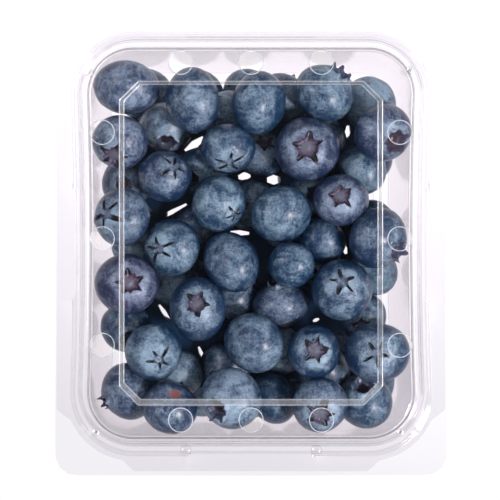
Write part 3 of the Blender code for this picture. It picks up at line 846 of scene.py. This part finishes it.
def settle(spots, sizes):
    """Let the berries fall and push each other apart; returns their centres and radii in millimetres."""
    home = spots[:, :2].copy()
    level = spots[:, 3].copy()
    centre = np.column_stack((home, level))
    radius = spots[:, 2] / 2 * SQUEEZE
    hold = np.repeat(HOLD_PLAN, sizes)[:, None]
    hold_level = np.repeat(HOLD_LEVEL, sizes)
    pushed = np.repeat(SHAFTS_PUSH, sizes)[:, None]
    shafts = np.array(SHAFTS)
    far = np.eye(len(spots)) * NOT_ITSELF
    for step in range(SETTLE_STEPS):
        if step < SETTLE_STEPS * HOLD_UNTIL:
            centre[:, 2] += hold_level * (level - centre[:, 2]) - FALL
            centre[:, :2] += hold * (home - centre[:, :2])
        centre[:sizes[0], :2] = home[:sizes[0]]
        apart = centre[:, None] - centre[None]
        distance = np.linalg.norm(apart, axis=2) + far
        overlap = np.clip(radius[:, None] + radius[None] - distance, 0.0, None)
        centre += PUSH_APART * (apart * (overlap / distance)[..., None]).sum(axis=1)
        aside = centre[:, None, :2] - shafts[None]
        gap = np.linalg.norm(aside, axis=2) + TINY
        need = np.clip(radius[:, None] + SHAFT_RADIUS - gap, 0.0, None) * pushed
        centre[:, :2] += PUSH_ASIDE * (aside * (need / gap)[..., None]).sum(axis=1)
        push_inside(centre, radius)
    centre[:sizes[0], :2] = home[:sizes[0]]
    return centre, radius / SQUEEZE


layer_sizes = (len(TOP_BERRIES), len(MIDDLE_BERRIES), len(bottom_berries))
spots = np.array([row[:4] for row in TOP_BERRIES] + MIDDLE_BERRIES + bottom_berries)
centres, radii = settle(spots, layer_sizes)
print(len(centres), "berries, highest at", round(float((centres[:, 2] + radii).max()), 1), "mm")

# %% [markdown]
# ## One berry
#
# A blueberry is a slightly flattened ball. Its crown is what is left of the flower: five lobes round a
# shallow dish. Open wide, the dish runs out into the lobes and makes a five-pointed star. In a cup the lobes
# stand up, and where they have closed over the dish only dark slits are left between them. At the other end
# is a small scar where the stalk was. A crown could be sculpted by hand, but eighty are needed and no two are
# alike. So the blank is a UV sphere with enough rings to spare near one pole, and a berry is a copy of it
# whose rings are moved onto a profile: dish, lobe, back of the lobe, then the skin down to the stalk's end.

# %% The blank
def berry_blank(name, segments, rings):
    """A UV sphere of unit radius, its poles on Z."""
    bpy.ops.object.select_all(action="DESELECT")
    bpy.ops.mesh.primitive_uv_sphere_add(segments=segments, ring_count=rings, radius=1.0)
    return new_piece(name)


# %% [markdown]
# The crown is measured in shares of the berry's radius. Four sizes say what it looks like from above and from
# the side: the foot of the lobes, their rim, how high the rim stands over the skin, and the base, where the
# back of the lobes meets the skin again. All of them swell and shrink from the middle of a lobe to the gap
# beside it.

# %% Crown
LOBES = 5
FULL_TURN = 6.28


def crown_sizes(kind, size, share, blunt, height, ragged):
    """Foot, rim, rise and base round the crown, and the depth of its dish, for one kind of crown."""
    if kind == "cup":
        foot = size * (0.50 + 0.08 * share)
        rim = size * (0.80 + 0.20 * blunt * height) * ragged
        rise = (0.04 + 0.07 * share + 0.12 * blunt * height) * ragged
        return foot, rim, rise, size * (0.96 + 0.10 * share) + 0.03, 0.24
    if kind == "slits":
        foot = size * (0.24 + 0.04 * share)
        rim = size * (0.30 + 0.66 * blunt * share * height) * ragged
        return foot, rim, 0.03 + 0.05 * (1 - share), rim + 0.09 + 0.12 * (1 - share), 0.13
    foot = size * (0.44 + 0.06 * share) * ragged
    rim = size * (0.60 + 0.36 * blunt * share * height) * ragged
    return foot, rim, 0.02 + 0.05 * (1 - share), rim + 0.08 + 0.06 * (1 - share), 0.15


def around_crown(angle, turn, rng):
    """Round the crown: the share from gap (0) to mid-lobe (1), how blunt, long and ragged each lobe is."""
    phase = rng.uniform(0.0, FULL_TURN, 4)
    uneven = 0.14 * np.sin(2 * angle + phase[0]) + 0.07 * np.sin(3 * angle + phase[3])
    steps = (angle - turn + uneven) / (2 * math.pi) * LOBES
    height = rng.uniform(0.65, 1.15, LOBES)[np.rint(steps).astype(int) % LOBES]
    share = 1.0 - 2.0 * np.abs(steps - np.rint(steps))
    blunt = np.clip((share - 0.50) / 0.38, 0.0, 1.0)
    blunt = blunt * blunt * (3 - 2 * blunt)
    ragged = 1.0 + 0.06 * np.sin(7 * angle + phase[1]) + 0.06 * np.sin(12 * angle + phase[2])
    return share, blunt, height, ragged


# %% Profile
FLATNESS = 0.88
SKIN = 3.0


def shaped_berry(points, rings, crown_rings, kind, size, turn, rng):
    """Move the points of a unit sphere onto a berry's profile.

    Returns the new points, how far out from the crown's middle each one is (0 to 1 inside the crown, up to 2
    on the back of its lobes, 3 on the skin and 4 at the stalk's end) and how near the middle line of a lobe.
    """
    row = np.rint(np.arccos(np.clip(points[:, 2], -1.0, 1.0)) / math.pi * rings)
    angle = np.arctan2(points[:, 1], points[:, 0])
    share, blunt, height, ragged = around_crown(angle, turn, rng)
    foot, rim, rise, base, depth = crown_sizes(kind, size, share, blunt, height, ragged)

    # How far each ring has come along its own stretch of the profile
    dish, wall, back = crown_rings
    in_dish = np.clip(row / dish, 0.0, 1.0)
    up_wall = np.clip((row - dish) / wall, 0.0, 1.0)
    down_back = np.clip((row - dish - wall) / back, 0.0, 1.0)
    along_body = np.clip((row - dish - wall - back) / (rings - dish - wall - back), 0.0, 1.0)
    zones = [row <= dish, row <= dish + wall, row <= dish + wall + back]

    # Heights of the dish, the lobes and the skin; a low collar runs round the crown
    floor_z = FLATNESS - depth
    foot_z = floor_z + 0.1 * depth
    rim_z = FLATNESS * np.sqrt(1.0 - rim ** 2) + rise
    base_z = FLATNESS * np.sqrt(1.0 - base ** 2)
    dish_z = floor_z + (foot_z - floor_z) * in_dish ** 2 + 0.2 * depth * np.exp(-(in_dish / 0.25) ** 2)
    wall_z = foot_z + (rim_z - foot_z) * up_wall ** 0.75
    back_z = rim_z + (base_z - rim_z) * np.sqrt(down_back)
    start = np.arcsin(base)
    theta = start + (math.pi - start) * along_body ** 1.1
    collar = 1.0 + 0.025 * np.exp(-((theta - start - 0.13) / 0.10) ** 2)
    lower_half = theta > math.pi / 2
    stalk_scar = 0.06 * np.exp(-(np.sin(theta) / 0.14) ** 2) * lower_half
    at_stalk = np.exp(-(np.sin(theta) / 0.26) ** 2) * lower_half

    radius = np.select(zones, [foot * in_dish, foot + (rim - foot) * up_wall, rim + (base - rim) * down_back],
                       np.sin(theta) * collar)
    z = np.select(zones, [dish_z, wall_z, back_z], FLATNESS * np.cos(theta) * collar + stalk_scar)
    outwards = np.select(zones, [row / (dish + wall), row / (dish + wall), 1.0 + down_back], SKIN + at_stalk)
    return np.column_stack((radius * np.cos(angle), radius * np.sin(angle), z)), outwards, share


# %% [markdown]
# No berry is quite round. A few slow waves make it uneven, some are longer than wide, and each is turned so
# that its crown looks its own way.

# %% Lumps, turn and length
LUMP_STRENGTH = 0.012
LUMP_FINENESS = 2.2
LUMP_WAVES = 5


def lumps(points, rng):
    """A few slow waves across the berry, as a factor on each point's distance from its middle."""
    total = np.zeros(len(points))
    for i in range(LUMP_WAVES):
        wave = rng.normal(size=3) * LUMP_FINENESS * (1 + 0.5 * i)
        total += np.sin(points @ wave + rng.uniform(0, FULL_TURN)) / (1 + i)
    return 1.0 + LUMP_STRENGTH * total


def turned(direction_x, direction_y, down):
    """The turn that carries +Z to a direction whose plan is given; with down, to the one that looks away."""
    rest = math.sqrt(max(0.0, 1.0 - direction_x ** 2 - direction_y ** 2))
    aim = Vector((direction_x, direction_y, -rest if down else rest))
    return np.array(aim.to_track_quat("Z", "Y").to_matrix())


def stretched(points, length, angle):
    """Lengthen the berry in plan along an angle, and narrow it across, so that its area stays."""
    a = math.radians(angle)
    along = np.array((math.cos(a), math.sin(a), 0.0))
    across = np.array((-math.sin(a), math.cos(a), 0.0))
    k = math.sqrt(length)
    longer = np.outer(points @ along, along) * (k - 1)
    narrower = np.outer(points @ across, across) * (1 / k - 1)
    return points + longer + narrower


# %% [markdown]
# ## Growing the heap
#
# Each berry is a copy of a blank with its own mesh. Attributes stored on the points say how far into the
# crown they are, how thick the bloom is and how purple the skin, so that one material serves all the berries.
# A berry whose crown doesn't show has it on the side that looks away: one of kind "none" also hides its scar,
# and one of kind "stalk" shows it.

# %% One berry from a blank
BERRY_VALUES = ("from_crown", "on_lobe", "standing_lobes", "towards_crown", "upwards", "bloom", "purple")
STANDING = {"star": 0.0, "cup": 1.0, "slits": -1.0}


def set_values(mesh, name, values):
    """Store one value for each point."""
    layer = mesh.attributes.new(name, "FLOAT", "POINT")
    layer.data.foreach_set("value", np.asarray(values, np.float32))


def grow_berry(blank, name, rings, crown_rings, centre, radius, looks, rng):
    """One berry at its place in millimetres, with the values that its skin reads."""
    kind, dx, dy, size, turn, length, angle, bloom, purple = looks
    mesh = blank.data.copy()
    mesh.name = name
    points = np.zeros(len(mesh.vertices) * 3, np.float32)
    mesh.vertices.foreach_get("co", points)
    points = points.reshape(-1, 3).astype(float)
    away = kind in ("none", "stalk")
    shape = "cup" if away else kind
    shaped, outwards, share = shaped_berry(points, rings, crown_rings, shape, size, math.radians(turn), rng)
    shaped *= lumps(shaped, rng)[:, None]
    polar_place = shaped[:, 2].copy()
    shaped = stretched(shaped @ turned(dx, dy, away).T, length, angle)
    half_width = math.sqrt(np.ptp(shaped[:, 0]) * np.ptp(shaped[:, 1])) / 2
    shaped = shaped / half_width * radius + centre
    mesh.vertices.foreach_set("co", (shaped * MM).astype(np.float32).ravel())
    whole = np.ones(len(points))
    set_values(mesh, "upwards", (shaped[:, 2] - centre[2]) / radius)
    set_values(mesh, "from_crown", np.minimum(outwards, SKIN) if kind == "none" else outwards)
    set_values(mesh, "on_lobe", share)
    set_values(mesh, "standing_lobes", whole * STANDING[shape])
    set_values(mesh, "towards_crown", polar_place)
    set_values(mesh, "bloom", whole * bloom)
    set_values(mesh, "purple", whole * purple)
    mesh.update()
    obj = bpy.data.objects.new(name, mesh)
    bpy.context.scene.collection.objects.link(obj)
    return obj


# %% [markdown]
# Berries on top get the finer blank. The looks of the lower ones aren't chosen by hand. They are drawn at
# random within narrow limits, with stars, cups and berries that show no crown in turn. In the end all the
# berries are joined into one piece.

# %% All the berries
# segments and rings of each blank, and how many rings go to the dish, up the lobes and down their backs
TOP_BLANK = (72, 30)
TOP_CROWN_RINGS = (5, 4, 3)
LOWER_BLANK = (36, 16)
LOWER_CROWN_RINGS = (3, 2, 2)
LOWER_KINDS = ("star", "cup", "none")
HEAP_SEED = 7


def lower_looks(number, rng):
    """Looks for a lower berry, in the order that TOP_BERRIES has."""
    direction = rng.uniform(-0.7, 0.7, 2)
    size = rng.uniform(0.36, 0.46)
    turn = rng.uniform(0, 72)
    length = rng.uniform(1.0, 1.1)
    angle = rng.uniform(0, 180)
    bloom = rng.uniform(0.3, 0.7)
    purple = rng.uniform(0.0, 0.4)
    return LOWER_KINDS[number % len(LOWER_KINDS)], *direction, size, turn, length, angle, bloom, purple


berry_rng = np.random.default_rng(HEAP_SEED)
top_blank = berry_blank("top_blank", *TOP_BLANK)
lower_blank = berry_blank("lower_blank", *LOWER_BLANK)
berries = []
for i, (centre, radius) in enumerate(zip(centres, radii)):
    if i < len(TOP_BERRIES):
        looks = TOP_BERRIES[i][4:]
        blank, rings, crown_rings = top_blank, TOP_BLANK[1], TOP_CROWN_RINGS
    else:
        looks = lower_looks(i, berry_rng)
        blank, rings, crown_rings = lower_blank, LOWER_BLANK[1], LOWER_CROWN_RINGS
    berries.append(grow_berry(blank, f"berry_{i:02d}", rings, crown_rings, centre, radius, looks, berry_rng))
bpy.data.objects.remove(top_blank)
bpy.data.objects.remove(lower_blank)
heap = join("fresh_blueberries", berries)
bpy.ops.object.shade_smooth()
print("berries:", sum(len(p.vertices) - 2 for p in heap.data.polygons), "triangles")

# %% [markdown]
# ## The middle of the heap
#
# The middle of a real heap hardly shows: the gaps are dark, and only a few narrow chinks go all the way down.
# So a plain block stands for the berries deep inside. It keeps well clear of the walls and the floor, and
# its chinks are cut with flattened cylinders. Only from low at the side does a little of it show, between
# the lower berries.

# %% Deep middle with its chinks
# x, y, half length and half width in mm, angle of the length
CHINKS = [
    (-14.6, 27.1, 3.4, 1.1, 37), (-20.6, 9.6, 5.2, 0.6, 28), (-1.7, 18.9, 1.8, 1.1, 10),
    (5.9, 18.0, 2.0, 1.3, 0), (24.9, 30.2, 2.1, 0.7, 85), (30.8, 13.8, 1.2, 0.8, 0),
    (-2.9, 4.3, 2.8, 0.7, -3), (24.2, 0.2, 1.6, 0.7, 105), (-22.4, -16.2, 2.9, 0.6, -55),
    (16.8, -18.2, 1.0, 0.5, 20), (-12.9, -26.6, 1.9, 0.5, 112),
]
CORE_HALF_X = 29.5 * MM
CORE_FRONT = -35.0 * MM
CORE_BACK = 36.0 * MM
CORE_FOOT = 7.0 * MM
CORE_TOP = 14.5 * MM
CORE_BEVEL = 3.0 * MM
CHINK_SIDES = 6
CHINK_LENGTH = 20.0 * MM

core_middle = (0.0, (CORE_FRONT + CORE_BACK) / 2, (CORE_FOOT + CORE_TOP) / 2)
core_size = (2 * CORE_HALF_X, CORE_BACK - CORE_FRONT, CORE_TOP - CORE_FOOT)
bpy.ops.object.select_all(action="DESELECT")
bpy.ops.mesh.primitive_cube_add(size=1.0, location=core_middle, scale=core_size)
core = new_piece("heap_core")
settle_in_place(core)
bpy.ops.object.mode_set(mode="EDIT")
bpy.ops.mesh.select_all(action="SELECT")
bpy.ops.mesh.bevel(offset=CORE_BEVEL, segments=3, affect="EDGES")
bpy.ops.object.mode_set(mode="OBJECT")
cutters = []
for x, y, half_length, half_width, angle in CHINKS:
    bpy.ops.mesh.primitive_cylinder_add(vertices=CHINK_SIDES, radius=1.0, depth=CHINK_LENGTH,
                                        location=(x * MM, y * MM, CORE_TOP),
                                        rotation=(0.0, 0.0, math.radians(angle)))
    cutters.append(new_piece("chink"))
    cutters[-1].scale = (half_length * MM, half_width * MM, 1.0)
cut_away(core, "chinks", cutters)
for name in BERRY_VALUES:
    set_values(core.data, name, np.full(len(core.data.vertices), SKIN if name == "from_crown" else 0.0))
print("core:", len(core.data.polygons), "faces,", len(CHINKS), "chinks")

# %% [markdown]
# ## Skin and bloom
#
# A ripe blueberry is a very dark blue, nearly black. What makes it look slate-blue is bloom, a pale wax that
# grows on the skin and rubs off wherever berries touch. So the skin is two layers: dark and slightly glossy
# below, pale and dull above, mixed by a mask. The mask is broad patches of about 5 mm, broken by rubbed
# streaks some 2 mm long in two directions, by a grain of under 1 mm and by pores 1.25 mm apart. The berries'
# own values are added to it: bloom is thickest round the crown, where nothing rubs, and thinnest low on the
# sides, partly where berries rub and partly as painted shade, which makes each berry darker the lower down
# its side.

# %% Patterns of the wax
# size of the pattern in mm, detail, stretch, turn, distortion
WAX_PATTERNS = {
    "patches": (4.8, 2.0, (1.0, 1.0, 1.0), (0.0, 0.0, 0.0), 0.7),
    "streaks": (2.1, 4.0, (1.0, 3.5, 1.5), (0.4, 0.2, 0.7), 1.2),
    "cross_streaks": (2.1, 4.0, (3.5, 1.0, 1.5), (0.1, 0.5, -0.4), 1.2),
    "grain": (0.67, 3.0, (1.0, 1.0, 1.0), (0.0, 0.0, 0.0), 0.0),
}
PORE_SPACING = 1.25 * MM
# what builds up, term by term, each with its weight
SUMS = {
    "cover": (("patches", 3.8), ("rubbed", 3.2), ("grain", 2.2), ("bloom", 2.2)),
    "uneven_crown": (("from_crown", 1.0), ("grain", 0.5), ("streaks", 0.5)),
    "fold": (("on_lobe", 1.0), ("from_crown", 1.0), ("grain", 0.8)),
    "bumps": (("grain", 0.5), ("patches", 0.5)),
}
# smooth steps: of what, from where to where, and the values before and after
STEPS = {
    "fringe": ("towards_crown", 0.60, 0.82, 0.0, 0.7),
    # partly rubbed wax, partly painted shade: the lower sides lose wax and so turn dark
    "rubbed_and_shaded_low": ("upwards", 0.0, 0.85, -0.8, 0.15),
    "open_pores": ("pores", 0.04, 0.17, 0.8, 1.0),
    "off_disc": ("uneven_crown", 0.72, 1.02, 0.0, 1.0),
    # painted shade mask: where the lobes fold
    "fold_shade": ("fold", 1.55, 2.05, 0.0, 1.0),
    "upright": ("standing_lobes", 0.0, 1.0, 0.0, 1.0),
    "closed": ("standing_lobes", -1.0, 0.0, 1.0, 0.0),
    "past_rim": ("from_crown", 0.98, 1.25, 0.0, 1.0),
    "stalk_scar": ("from_crown", 3.2, 4.0, 0.0, 1.0),
}


def skin_masks(tree):
    """The berry's own values, the wax patterns and what is worked out from both, by name."""
    place = add_node(tree, "ShaderNodeTexCoord").outputs["Object"]
    out = {name: add_node(tree, "ShaderNodeAttribute", {"attribute_name": name}).outputs["Fac"]
           for name in BERRY_VALUES}
    for name, (size, detail, stretch, turn, distortion) in WAX_PATTERNS.items():
        mapped = add_node(tree, "ShaderNodeMapping", Vector=place, Scale=stretch, Rotation=turn).outputs[0]
        out[name] = add_node(tree, "ShaderNodeTexNoise", Vector=mapped, Scale=1 / (size * MM), Detail=detail,
                             Roughness=0.6, Distortion=distortion).outputs["Fac"]
    out["rubbed"] = add_node(tree, "ShaderNodeMath", {"operation": "MAXIMUM"}, _0=out["streaks"],
                             _1=out["cross_streaks"]).outputs[0]
    pores = add_node(tree, "ShaderNodeTexVoronoi", Vector=place, Scale=1 / PORE_SPACING)
    out["pores"] = pores.outputs["Distance"]
    for name, terms in SUMS.items():
        total = 0.0
        for term, weight in terms:
            total = add_node(tree, "ShaderNodeMath", {"operation": "MULTIPLY_ADD"}, _0=out[term], _1=weight,
                             _2=total).outputs[0]
        out[name] = total
    smooth = {"interpolation_type": "SMOOTHSTEP"}
    for name, (source, low, high, before, after) in STEPS.items():
        out[name] = add_node(tree, "ShaderNodeMapRange", smooth, Value=out[source], From_Min=low,
                             From_Max=high, To_Min=before, To_Max=after).outputs["Result"]
    for extra in ("fringe", "rubbed_and_shaded_low"):
        out["cover"] = add_node(tree, "ShaderNodeMath", _0=out["cover"], _1=out[extra]).outputs[0]
    wax = add_node(tree, "ShaderNodeMapRange", smooth, Value=out["cover"], From_Min=4.95, From_Max=7.75)
    out["wax"] = add_node(tree, "ShaderNodeMath", {"operation": "MULTIPLY"}, _0=wax.outputs["Result"],
                          _1=out["open_pores"]).outputs[0]
    return out


# %% [markdown]
# An open crown's dish has no bloom and is a dull mauve. The points of its star, where the lobes fold, get
# painted shade, nearly black, for the shade in those creases. Where they have closed, only the folds get that
# painted shade, and the rest is nearly as pale as the skin. A standing crown is painted nearly black inside,
# as shade in its hollow, and its rim is paler. The scar at the stalk's end is a warm brown. Every colour is a
# mix of two by one of the masks, and a mix can go into the next one, so the whole skin is one list that ends
# with the finished colour.

# %% Blueberry skin
# painted shade: nearly black inside a standing crown, for the shade in its hollow; the rim keeps a paler skin
# colour
CUP_HOLLOW_SHADE = [(0.4, "#0f121c"), (0.9, "#161a27"), (1.0, "#1f2330"), (1.0, "#434f66")]
# name of the mix, what shares it out, its first and its second colour
MIXES = [
    ("bare", "purple", "#0c304c", "#242845"),
    ("dusted", "purple", "#88a2ae", "#8c94a8"),
    ("skin", "wax", "bare", "dusted"),
    ("scarred", "stalk_scar", "skin", "#8a5248"),
    ("mauve", "purple", "#484a5c", "#543d53"),
    ("open_floor", "off_disc", "#5b5c66", "mauve"),
    ("floor", "closed", "open_floor", "#6b788b"),
    # painted shade: the folds of the star turn nearly black
    ("star", "fold_shade", "floor", "#0e0d16"),
    ("warm_cup", "purple", "cup", "#43303a"),
    ("hollow", "upright", "star", "warm_cup"),
    ("colour", "past_rim", "hollow", "scarred"),
]
BUMP_HEIGHT = 0.06 * MM


def make_berry_skin():
    """Skin, bloom, crown and scar in one finish, led by the values on each berry's points."""
    material, output = new_material("blueberry_skin_with_bloom")
    tree = material.node_tree
    out = skin_masks(tree)
    colours = {"cup": add_ramp(tree, out["uneven_crown"], CUP_HOLLOW_SHADE)}
    for name, share, *pair in MIXES:
        first, second = [colours[end] if end in colours else linear(end) for end in pair]
        colours[name] = add_node(tree, "ShaderNodeMix", {"data_type": "RGBA"}, _0=out[share], _6=first,
                                 _7=second).outputs[2]
    rough = add_node(tree, "ShaderNodeMapRange", Value=out["wax"], To_Min=0.30, To_Max=0.44)
    bump = add_node(tree, "ShaderNodeBump", Strength=0.3, Distance=BUMP_HEIGHT, Height=out["bumps"])
    shader = add_node(tree, "ShaderNodeBsdfPrincipled", Base_Color=colours["colour"], IOR=1.45,
                      Roughness=rough.outputs["Result"], Normal=bump.outputs["Normal"])
    tree.links.new(shader.outputs[0], output.inputs["Surface"])
    return material


berry_skin = make_berry_skin()
for piece in (heap, core):
    piece.data.materials.clear()
    piece.data.materials.append(berry_skin)
    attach(piece, "tray")
    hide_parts("blueberries")
print("skin:", len(berry_skin.node_tree.nodes), "nodes")

# %% [markdown]
# ## Light table
#
# The pack stands on a white light table, so that the chinks between berries and the clear rim show white,
# with no shadow. Its glow falls off a little towards the front left. It is only a stage, and no part of the
# pack.

# %% Light table
TABLE_SIZE = 6.0
TABLE_DROP = 0.05 * MM
# glow at the middle, and how much it gains for each metre to the right and to the back
GLOW = 1.25
GLOW_RIGHT = 1.2
GLOW_BACK = 4.2
GLOW_LIMITS = (1.01, 1.45)

bpy.ops.object.select_all(action="DESELECT")
bpy.ops.mesh.primitive_plane_add(size=TABLE_SIZE, location=(0.0, 0.0, -TABLE_DROP))
table = new_piece("light_table")
table_finish, table_output = new_material("white_light_table")
tree = table_finish.node_tree
place = add_node(tree, "ShaderNodeTexCoord").outputs["Object"]
along = add_node(tree, "ShaderNodeSeparateXYZ", Vector=place)
glow = GLOW
for axis, gain in (("X", GLOW_RIGHT), ("Y", GLOW_BACK)):
    glow = add_node(tree, "ShaderNodeMath", {"operation": "MULTIPLY_ADD"}, _0=along.outputs[axis], _1=gain,
                    _2=glow).outputs[0]
level = add_node(tree, "ShaderNodeClamp", Value=glow, Min=GLOW_LIMITS[0], Max=GLOW_LIMITS[1])
lamp_glass = add_node(tree, "ShaderNodeEmission", Color=linear("#ffffff"), Strength=level.outputs[0])
tree.links.new(lamp_glass.outputs[0], table_output.inputs["Surface"])
table.data.materials.append(table_finish)
print("light table:", TABLE_SIZE, "m wide")

# %% [markdown]
# ## Room and lamps
#
# The room is a soft tent of light, dark only straight above, where a camera hangs: a flat lid mirrors that
# dark patch, so it stays clear. A small softbox on the right gives each berry its highlight, and three broad
# dim ones fill in and light up the lid's bends.

# %% Room
# how bright the tent is, from the horizon and all below it (0) to straight above (1)
TENT = ((0.0, 0.25), (0.3, 0.35), (0.55, 1.0), (0.85, 1.0), (0.965, 0.2), (1.0, 0.02))
TENT_COLOUR = (0.90, 0.97, 1.04)
TENT_STRENGTH = 1.04

world = bpy.data.worlds.new("light_tent")
bpy.context.scene.world = world
world.use_nodes = True
tree = world.node_tree
tree.nodes.clear()
up = add_node(tree, "ShaderNodeSeparateXYZ", Vector=add_node(tree, "ShaderNodeTexCoord").outputs["Generated"])
height = add_node(tree, "ShaderNodeValToRGB", Fac=up.outputs["Z"])
elements = height.color_ramp.elements
for place, _ in TENT[1:-1]:
    elements.new(place)
for element, (_, grey) in zip(elements, TENT):
    element.color = [part * grey for part in TENT_COLOUR] + [1.0]
background = add_node(tree, "ShaderNodeBackground", Color=height.outputs["Color"], Strength=TENT_STRENGTH)
world_output = tree.nodes.new("ShaderNodeOutputWorld")
tree.links.new(background.outputs[0], world_output.inputs["Surface"])
print("tent:", len(TENT), "levels of light")

# %% Softboxes
# name, azimuth from the front towards the right and angle off straight above in degrees, size in m, watts
SOFTBOXES = [
    ("key", 63, 38, 0.15, 9.8),
    ("fill_front_right", 45, 52, 0.30, 1.2),
    ("fill_back_left", -105, 40, 0.35, 2.5),
    ("fill_right", 100, 48, 0.45, 1.3),
]
for name, azimuth, off_zenith, size, power in SOFTBOXES:
    a, e = math.radians(azimuth), math.radians(off_zenith)
    place = Vector((math.sin(a) * math.sin(e), -math.cos(a) * math.sin(e), math.cos(e)))
    lamp = bpy.data.lights.new(name, "AREA")
    lamp.size = size
    lamp.energy = power
    softbox = bpy.data.objects.new(name, lamp)
    softbox.location = place
    softbox.rotation_euler = place.to_track_quat("Z", "Y").to_euler()
    bpy.context.scene.collection.objects.link(softbox)
print(len(SOFTBOXES), "softboxes, one metre from the pack")

# %% [markdown]
# ## Camera
#
# A long lens, 1.2 m straight above the tray's rim, shows the pack nearly without perspective. Light has to
# get through many layers of clear sheet, so more of them than usual are allowed before a ray is given up.

# %% Camera
CAMERA_DISTANCE = 1.2
CAMERA_PLACE = (-0.25 * MM, -0.13 * MM)
FRAME_WIDTH = 127.25 * MM
SENSOR = 36.0
CAMERA_REACH = 10.0
CLEAR_LAYERS = 32

camera_data = bpy.data.cameras.new("camera")
camera_data.sensor_width = SENSOR
camera_data.lens = SENSOR * CAMERA_DISTANCE / FRAME_WIDTH
camera_data.clip_end = CAMERA_REACH
camera = bpy.data.objects.new("camera", camera_data)
camera.location = (*CAMERA_PLACE, TRAY_FLANGE_Z + CAMERA_DISTANCE)
bpy.context.scene.collection.objects.link(camera)
bpy.context.scene.camera = camera
bpy.context.scene.view_settings.view_transform = "Standard"
bpy.context.scene.cycles.transparent_max_bounces = CLEAR_LAYERS
print("lens:", round(camera_data.lens), "mm")
